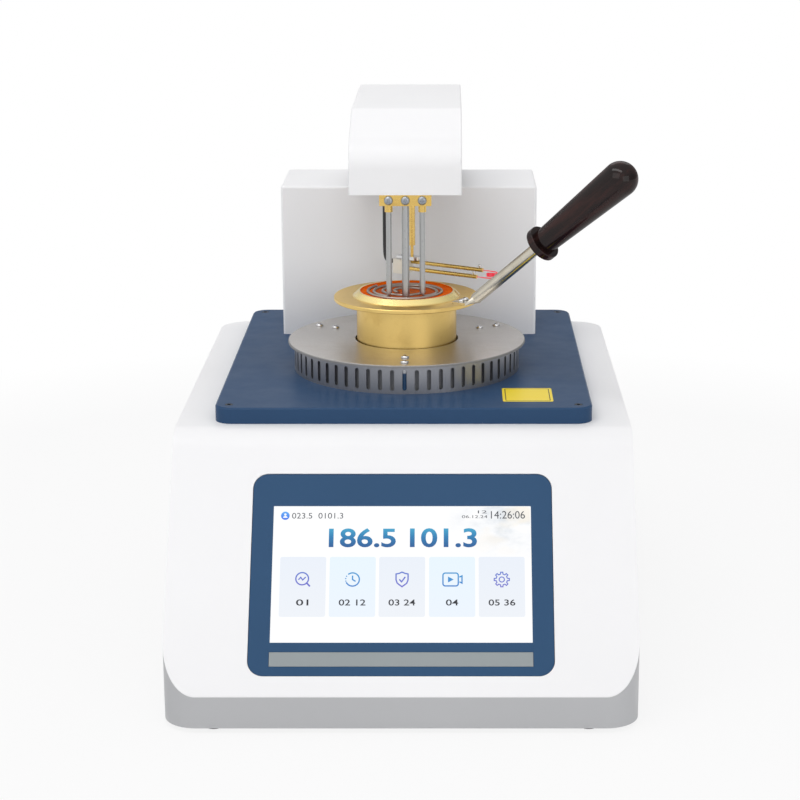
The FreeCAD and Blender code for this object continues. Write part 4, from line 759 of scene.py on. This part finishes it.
def thread_piece():
    low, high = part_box("lift_screw")
    centre = (low + high) / 2
    crest = (high.x - low.x) / 2
    levels = int((high.z - low.z) / (THREAD_PITCH / RINGS_PER_TURN))
    bm = bmesh.new()
    rings = []
    for i in range(levels + 1):
        z = low.z + (high.z - low.z) * i / levels
        shown = clamped((min(z - low.z, high.z - z) - SMOOTH_END) / SMOOTH_END)
        ring = []
        for k in range(THREAD_POINTS):
            turn = 2 * math.pi * k / THREAD_POINTS
            wave = ((z / THREAD_PITCH - k / THREAD_POINTS) % 1.0) * 2 - 1
            groove = clamped((GROOVE_SHARE - abs(wave)) / FLANK_SHARE)
            radius = crest - groove * THREAD_DEPTH * shown
            place = (centre.x + radius * math.cos(turn), centre.y + radius * math.sin(turn), z)
            ring.append(bm.verts.new(place))
        rings.append(ring)
    bridge(bm, rings)
    bm.faces.new(rings[0][::-1])
    bm.faces.new(rings[-1])
    mesh = finished(bm, "lift_screw_thread", sharp=50.0)
    add_piece("lift_screw_thread", mesh, ROD, "head", ["lift_screw"])


thread_piece()


# The igniter's flexible lead, from the head's underside to the block: its route in the arm's frame, as
# (x, z) in millimetres
LEAD_ROUTE = [(-22.9, 122.0), (-22.9, 112.0), (-22.9, 100.0), (-22.9, 88.0), (-22.9, 76.0),
              (-22.9, 68.5), (-22.4, 61.6), (-20.2, 59.5), (-16.5, 59.5), (-12.8, 59.5)]
LEAD_RADIUS = 1.6 * MM
LEAD_POINTS = 20


def lead_piece():
    curve = bpy.data.curves.new("lead_line", "CURVE")
    curve.dimensions = "3D"
    curve.resolution_u = 16
    spline = curve.splines.new("NURBS")
    spline.points.add(len(LEAD_ROUTE) - 1)
    for point, (x, z) in zip(spline.points, LEAD_ROUTE):
        point.co = (*(ON_ARM @ Vector((x, 0, z))), 1)
    spline.order_u = 3
    spline.use_endpoint_u = True
    path = [v.co.copy() for v in evaluated("lead_line", curve).vertices]

    side = (ON_ARM.to_3x3() @ Vector((0, 1, 0))).normalized()
    turns = [2 * math.pi * k / LEAD_POINTS for k in range(LEAD_POINTS)]
    bm = bmesh.new()
    rings = []
    for i, place in enumerate(path):
        way = (path[min(i + 1, len(path) - 1)] - path[max(i - 1, 0)]).normalized()
        across = way.cross(side).normalized()
        rings.append([bm.verts.new(place + side * (LEAD_RADIUS * math.cos(a))
                                   + across * (LEAD_RADIUS * math.sin(a))) for a in turns])
    bridge(bm, rings)
    bm.faces.new(rings[0])
    bm.faces.new(rings[-1][::-1])

    mesh = finished(bm, "igniter_lead_sleeve", sharp=60.0)
    lead = bpy.data.objects.new("igniter_lead_sleeve", mesh)
    scene.collection.objects.link(lead)
    lead.data.materials.append(LEAD)
    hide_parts("igniter_lead")
    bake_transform(lead)


lead_piece()

# Sample oil in the cup, from its floor's rounded corner to its face, which climbs the wall
OIL_FLOOR = 20.1
OIL_FACE = 52.08
OIL_SIDES = 96
floor_corner = [(28.3, OIL_FLOOR), (30.6, 21.0), (31.5, 23.4)]
climb = [(31.55, 52.75), (31.25, 52.4), (30.6, 52.2), (29.6, 52.1)]
face_rings = [(radius, OIL_FACE) for radius in (24.0, 16.0, 8.0)]
oil = bmesh.new()
lathe(oil, [(0, OIL_FLOOR), *floor_corner, *climb, *face_rings, (0, OIL_FACE)], OIL_SIDES)
add_piece("sample_oil", finished(oil, "sample_oil", ON_PLATE, 50.0), oil_liquid(), "cup")

# Liner sheet behind the shield's slots, open at the posts, with its angles in degrees
LINER_IN, LINER_OUT, LINER_TOP = 72.8, 73.2, 18.0
POST_GAP = 5.0
LINER_POINTS = 60
liner = bmesh.new()
for angle in POST_ANGLES:
    arc = (LINER_POINTS, angle + POST_GAP, 360 / len(POST_ANGLES) - 2 * POST_GAP)
    slab(liner, circle(0, 0, LINER_OUT, *arc) + circle(0, 0, LINER_IN, *arc)[::-1], 0.0, LINER_TOP)
add_piece("shield_liner", finished(liner, "shield_liner", ON_PLATE), LINER, "base")

# Blank yellow label on the deck plate, with a printed border
LABEL_PLACE = (80.1, -78.5)
FILM_WIDTH, FILM_LENGTH, FILM_CORNER, FILM_TOP = 32.6, 33.8, 1.6, 0.12
BORDER_INSET, BORDER_CORNER, BORDER_LINE, BORDER_TOP = 2.0, 0.8, 0.55, 0.15
film = bmesh.new()
slab(film, rounded(*LABEL_PLACE, FILM_WIDTH, FILM_LENGTH, FILM_CORNER), 0.0, FILM_TOP)
add_piece("label_film", finished(film, "label_film", ON_PLATE), YELLOW, "base")
border = bmesh.new()
border_path = rounded(*LABEL_PLACE, FILM_WIDTH - 2 * BORDER_INSET, FILM_LENGTH - 2 * BORDER_INSET,
                      BORDER_CORNER, 3)
ribbon(border, border_path, BORDER_LINE, FILM_TOP, BORDER_TOP, True)
add_piece("label_border", finished(border, "label_border", ON_PLATE), INK, "base")

# The screen's picture: tiles, signs and plain figures, in thin layers on the panel's face.
# Places are millimetres across the slope and up it, and each level is (low, high).
FACE = -0.9
LAYER = 0.03
FIRST, SECOND, ON_TILE = [(FACE + LAYER * i, FACE + LAYER * (i + 1)) for i in range(3)]
TILE = (FIRST[0], SECOND[1])
PICTURE = (20, 84, 79.4, 120.2)
TILE_XS = [-60.8, -30.25, 0.2, 30.95, 61.5]
TILE_Y, TILE_WIDTH, TILE_HEIGHT, TILE_CORNER = 68.6, 28.4, 38.2, 1.3
TILE_TEXT_Y, TILE_TEXT_HEIGHT = 58.6, 3.9
TITLE_Y, TITLE_WIDTH, TITLE_HEIGHT = 100.0, 41.5, 12.4
USER_X, USER_Y = -72.7, 114.3
SIGN_Y = 73.2
LINE = 0.84

# Where the shades of the tiles, the signs and the figures start and end
TILE_SPAN, SIGN_SPAN, TITLE_SPAN, TEXT_SPAN = (49, 88), (66, 80), (94, 106.4), (50, 118)
DOT_SPAN, PERSON_SPAN = (111.6, 117.0), (111, 117)


def on_screen(name, bm, material):
    add_piece(name, finished(bm, name, ON_SLOPE), material, "base")


def text_piece(name, lines, level, material, bold=0.0):
    """Figures from (text, x, y, width, height) rows, as one piece on the screen."""
    bm = bmesh.new()
    for row in lines:
        bm.from_mesh(figures(*row, *level, bold))
    bmesh.ops.remove_doubles(bm, verts=bm.verts, dist=1e-4)
    on_screen(name, bm, material)


picture = bmesh.new()
slab(picture, oblong(*PICTURE), *FIRST)
on_screen("screen_picture", picture, pale_picture())

PALE_TILE = lit_up("tile_pale", [(0.0, (238, 242, 248)), (1.0, (234, 240, 249))], *TILE_SPAN)
BLUE_TILE = lit_up("tile_blue", [(0.0, (236, 244, 254)), (1.0, (232, 245, 255))], *TILE_SPAN)
for tile_name, material, xs in (("tiles_pale", PALE_TILE, TILE_XS[::2]),
                                ("tiles_blue", BLUE_TILE, TILE_XS[1::2])):
    tiles = bmesh.new()
    for x in xs:
        slab(tiles, rounded(x, TILE_Y, TILE_WIDTH, TILE_HEIGHT, TILE_CORNER), *TILE)
    on_screen(tile_name, tiles, material)


def sign_line(bm, x, points, width=LINE, closed=False):
    """A drawn line of a sign, from points about the sign's middle."""
    ribbon(bm, [(x + px, SIGN_Y + py) for px, py in points], width, *ON_TILE, closed)


def dot(bm, x, y, radius, level, count, *arc):
    slab(bm, circle(x, y, radius, count, *arc), *level)


def magnifier(bm, x):
    sign_line(bm, x, circle(0, 0.5, 3.9), closed=True)
    sign_line(bm, x, [(2.85, -2.3), (4.9, -4.4)], LINE * 1.2)
    sign_line(bm, x, [(-2.3, -0.2), (-0.9, 1.4), (0.3, -0.3), (2.2, 1.6)], LINE * 0.9)


def ticked_shield(bm, x):
    half = [(1.8, 3.9), (3.7, 3.5), (3.7, -0.2), (2.9, -2.4)]
    other_half = [(-px, py) for px, py in half[::-1]]
    sign_line(bm, x, [(0, 4.7), *half, (0, -4.6), *other_half], closed=True)
    sign_line(bm, x, [(-1.7, 0.1), (-0.3, -1.5), (2.0, 1.7)])


def gear(bm, x):
    teeth = []
    for i in range(8):
        for turn, radius in ((-13, 3.5), (-8, 4.7), (8, 4.7), (13, 3.5)):
            angle = math.radians(45 * i + turn)
            teeth.append((radius * math.cos(angle), radius * math.sin(angle)))
    sign_line(bm, x, teeth, LINE * 0.8, True)
    sign_line(bm, x, circle(0, 0, 1.6, 28), LINE * 0.8, True)


def clock(bm, x):
    dial = 4.2
    sign_line(bm, x, circle(0, 0, dial, 36, 130, -285))
    for turn in (150, 172, 194):
        angle = math.radians(turn)
        dot(bm, x + dial * math.cos(angle), SIGN_Y + dial * math.sin(angle), 0.42, ON_TILE, 12)
    sign_line(bm, x, [(0, 2.5), (0, 0), (1.9, -1.2)])


def video_camera(bm, x):
    sign_line(bm, x, rounded(-0.9, 0, 9.4, 8.2, 1.4), closed=True)
    slab(bm, [(x - 2.5, SIGN_Y - 1.9), (x + 1.0, SIGN_Y), (x - 2.5, SIGN_Y + 1.9)], *ON_TILE)
    sign_line(bm, x, [(4.5, 1.5), (6.1, 2.3), (6.1, -2.3), (4.5, -1.5)])


violet_signs = bmesh.new()
magnifier(violet_signs, TILE_XS[0] - 0.4)
ticked_shield(violet_signs, TILE_XS[2])
gear(violet_signs, TILE_XS[4])
on_screen("signs_violet", violet_signs,
          lit_up("sign_violet", [(0.0, (112, 104, 204)), (1.0, (84, 122, 208))], *SIGN_SPAN))

azure_signs = bmesh.new()
clock(azure_signs, TILE_XS[1])
video_camera(azure_signs, TILE_XS[3])
on_screen("signs_azure", azure_signs,
          lit_up("sign_azure", [(0.0, (50, 122, 204)), (1.0, (54, 160, 212))], *SIGN_SPAN))

badge = bmesh.new()
dot(badge, USER_X, USER_Y, 2.7, FIRST, 40)
on_screen("user_dot", badge,
          lit_up("dot_blue", [(0.0, (44, 112, 236)), (1.0, (96, 178, 250))], *DOT_SPAN))
person = bmesh.new()
dot(person, USER_X, USER_Y + 0.8, 0.75, SECOND, 20)
dot(person, USER_X, USER_Y - 1.4, 1.35, SECOND, 20, 0, 180)
on_screen("user_sign", person,
          lit_up("sign_white", [(0.0, (240, 247, 255)), (1.0, (255, 255, 255))], *PERSON_SPAN))

TITLE = lit_up("title_blue", [(0.0, (10, 88, 152)), (0.5, (18, 124, 180)), (1.0, (58, 168, 208))],
               *TITLE_SPAN)
GRAPHITE = lit_up("text_graphite", [(0.0, (74, 78, 84)), (1.0, (66, 70, 76))], *TEXT_SPAN)
BLACK_TEXT = lit_up("text_black", [(0.0, (34, 36, 42)), (1.0, (30, 32, 38))], *TEXT_SPAN)
TITLES = [("186.5", -24.6), ("101.3", 25.6)]
text_piece("title_figures", [(text, x, TITLE_Y, TITLE_WIDTH, TITLE_HEIGHT) for text, x in TITLES],
           SECOND, TITLE, bold=0.022)
text_piece("head_figures",
           [("14:26:06", 65.7, 114.9, 21.2, 5.0), ("023.5  0101.3", -52.6, 114.3, 31.8, 3.7),
            ("06.12.24", 45.0, 113.7, 15.8, 1.9), ("12", 49.8, 116.8, 5.6, 1.9)], SECOND, GRAPHITE)
TILE_TEXTS = [("01", 7.6), ("02 12", 16.4), ("03 24", 16.4), ("04", 7.6), ("05 36", 16.4)]
text_piece("tile_figures",
           [(text, x, TILE_TEXT_Y, width, TILE_TEXT_HEIGHT)
            for x, (text, width) in zip(TILE_XS, TILE_TEXTS)], ON_TILE, BLACK_TEXT, bold=0.012)

# Marks on the power rocker, printed on the two halves of its face. Its tilt at rest and the lean
# of its halves are in degrees, and the rest in millimetres.
ROCKER_TILT = -10.0
HALF_LEAN = 10.0
PIVOT_DEPTH = 5.4
FACE_MIDDLE = 2.5
MARK_OFFSET = 5.2
MARK_INK = (0.0, 0.08)
switch_low, switch_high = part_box("switch_frame")
rocker_pivot = (middle("power_rocker").x, switch_high.y - PIVOT_DEPTH * MM,
                (switch_low.z + switch_high.z) / 2)
ROCKER = local_frame(rocker_pivot, math.radians(ROCKER_TILT), "X")


def rocker_mark(name, bm, lean, up):
    """A printed mark on the half of the rocker's face that leans so."""
    face = (at(ROCKER, 0, FACE_MIDDLE, 0) @ Matrix.Rotation(math.radians(lean), 4, "X")
            @ Matrix.Translation((0, 0, up)) @ Matrix.Rotation(REARWARD, 4, "X"))
    add_piece(name, finished(bm, name, face), MARK_WHITE, "rocker")


bar = bmesh.new()
slab(bar, oblong(-0.35, -2, 0.35, 2), *MARK_INK)
rocker_mark("rocker_mark_on", bar, -HALF_LEAN, MARK_OFFSET)
ring = bmesh.new()
ribbon(ring, circle(0, 0, 1.6, 32), 0.6, *MARK_INK, True)
rocker_mark("rocker_mark_off", ring, HALF_LEAN, -MARK_OFFSET)

# Screws at the fan's corners, on the rear wall
fan = middle("fan_frame")
reach = FAN_SCREW_OFFSET * MM
on_rear = [local_frame((fan.x + sx * reach, REAR_Y, fan.z + sz * reach), REARWARD, "X")
           for sx in (-1, 1) for sz in (-1, 1)]
screw_set("fan_screws", FAN_SCREW, on_rear, "base")


# Studio: soft lights, as place, target, size in metres, power in watts and colour
LIGHTS = {
    "key": ((-0.75, -1.3, 1.15), (0, -0.05, 0.15), (1.4, 1.0), 4.0, (1, 0.995, 0.985)),
    "top": ((-0.3, -0.42, 1.5), (0, -0.05, 0.15), (1.5, 0.3), 5.4, (1, 0.995, 0.985)),
    "fill": ((1.0, -1.4, 0.6), (0, 0.05, 0.2), (1.2, 0.9), 3.8, (1, 0.99, 0.98)),
    "back": ((0.2, 1.3, 1.3), (0, 0, 0.15), (1.4, 0.8), 3.0, (1, 1, 1)),
}
for name, (place, target, size, power, colour) in LIGHTS.items():
    data = bpy.data.lights.new(name, "AREA")
    data.shape = "RECTANGLE"
    data.size, data.size_y = size
    data.energy = power
    data.color = colour
    light = bpy.data.objects.new(name, data)
    scene.collection.objects.link(light)
    light.location = place
    light.rotation_euler = (Vector(target) - Vector(place)).to_track_quat("-Z", "Y").to_euler()

# World: white behind the object, softer for its light. Metals see it graded, brightest towards
# the upper left front.
SKY_COLOUR = (0.985, 0.985, 1.0, 1)
SKY_STRENGTH = 0.62
BRIGHT_SIDE = (-0.5, -0.45, 0.75)
MIRRORED_STRENGTH = (0.4, 1.0)
MIRRORED_SPAN = (-0.4, 0.7)
PURE_WHITE = (1, 1, 1, 1)


def either_ray(t, *kinds):
    """1 for rays of either kind."""
    rays = t.nodes.new("ShaderNodeLightPath")
    return maths(t, "MAXIMUM", *[rays.outputs[kind] for kind in kinds])


def mixed_shader(t, fac, a, b):
    n = t.nodes.new("ShaderNodeMixShader")
    for socket, value in zip(n.inputs, (fac, a, b)):
        t.links.new(value, socket)
    return n.outputs[0]


world = bpy.data.worlds.new("studio")
scene.world = world
world.use_nodes = True
sky = world.node_tree
sky.nodes.clear()
sky_way = sky.nodes.new("ShaderNodeTexCoord").outputs["Generated"]
towards = vector_maths(sky, "DOT_PRODUCT", sky_way, BRIGHT_SIDE)
soft = node(sky, "ShaderNodeBackground", Color=SKY_COLOUR, Strength=SKY_STRENGTH)
mirrored = node(sky, "ShaderNodeBackground", Color=PURE_WHITE,
                Strength=value_map(sky, towards, *MIRRORED_STRENGTH, *MIRRORED_SPAN))
white = node(sky, "ShaderNodeBackground", Color=PURE_WHITE)
glossy = sky.nodes.new("ShaderNodeLightPath").outputs["Is Glossy Ray"]
in_metal = mixed_shader(sky, glossy, soft.outputs[0], mirrored.outputs[0])
seen = either_ray(sky, "Is Camera Ray", "Is Transmission Ray")
sky_out = sky.nodes.new("ShaderNodeOutputWorld")
sky.links.new(mixed_shader(sky, seen, in_metal, white.outputs[0]), sky_out.inputs[0])

# Floor: pale, with the object's shadow near it. The share of plain white that is seen there
# grows over a span of distances, in metres.
FLOOR_HALF = 25.0
FLOOR_COLOUR = (0.82, 0.82, 0.82, 1)
WHITE_SHARE = (0.84, 1.0)
WHITE_SPAN = (0.58, 0.8)
corners = [(x, y, 0) for x, y in oblong(-FLOOR_HALF, -FLOOR_HALF, FLOOR_HALF, FLOOR_HALF)]
floor_mesh = bpy.data.meshes.new("floor")
floor_mesh.from_pydata(corners, [], [(0, 1, 2, 3)])
floor = bpy.data.objects.new("floor", floor_mesh)
scene.collection.objects.link(floor)
pale, ft, matt = new_material("floor_pale")
wire(ft, matt, Base_Color=FLOOR_COLOUR, Roughness=0.9, Specular_IOR_Level=0.1)
glow = node(ft, "ShaderNodeEmission", Color=PURE_WHITE)
far_out = vector_maths(ft, "LENGTH", object_coords(ft))
share = value_map(ft, far_out, *WHITE_SHARE, *WHITE_SPAN)
share = maths(ft, "MULTIPLY", either_ray(ft, "Is Camera Ray", "Is Glossy Ray"), share)
floor_out = next(n for n in ft.nodes if n.type == "OUTPUT_MATERIAL")
ft.links.new(mixed_shader(ft, share, matt.outputs[0], glow.outputs[0]), floor_out.inputs[0])
floor.data.materials.append(pale)
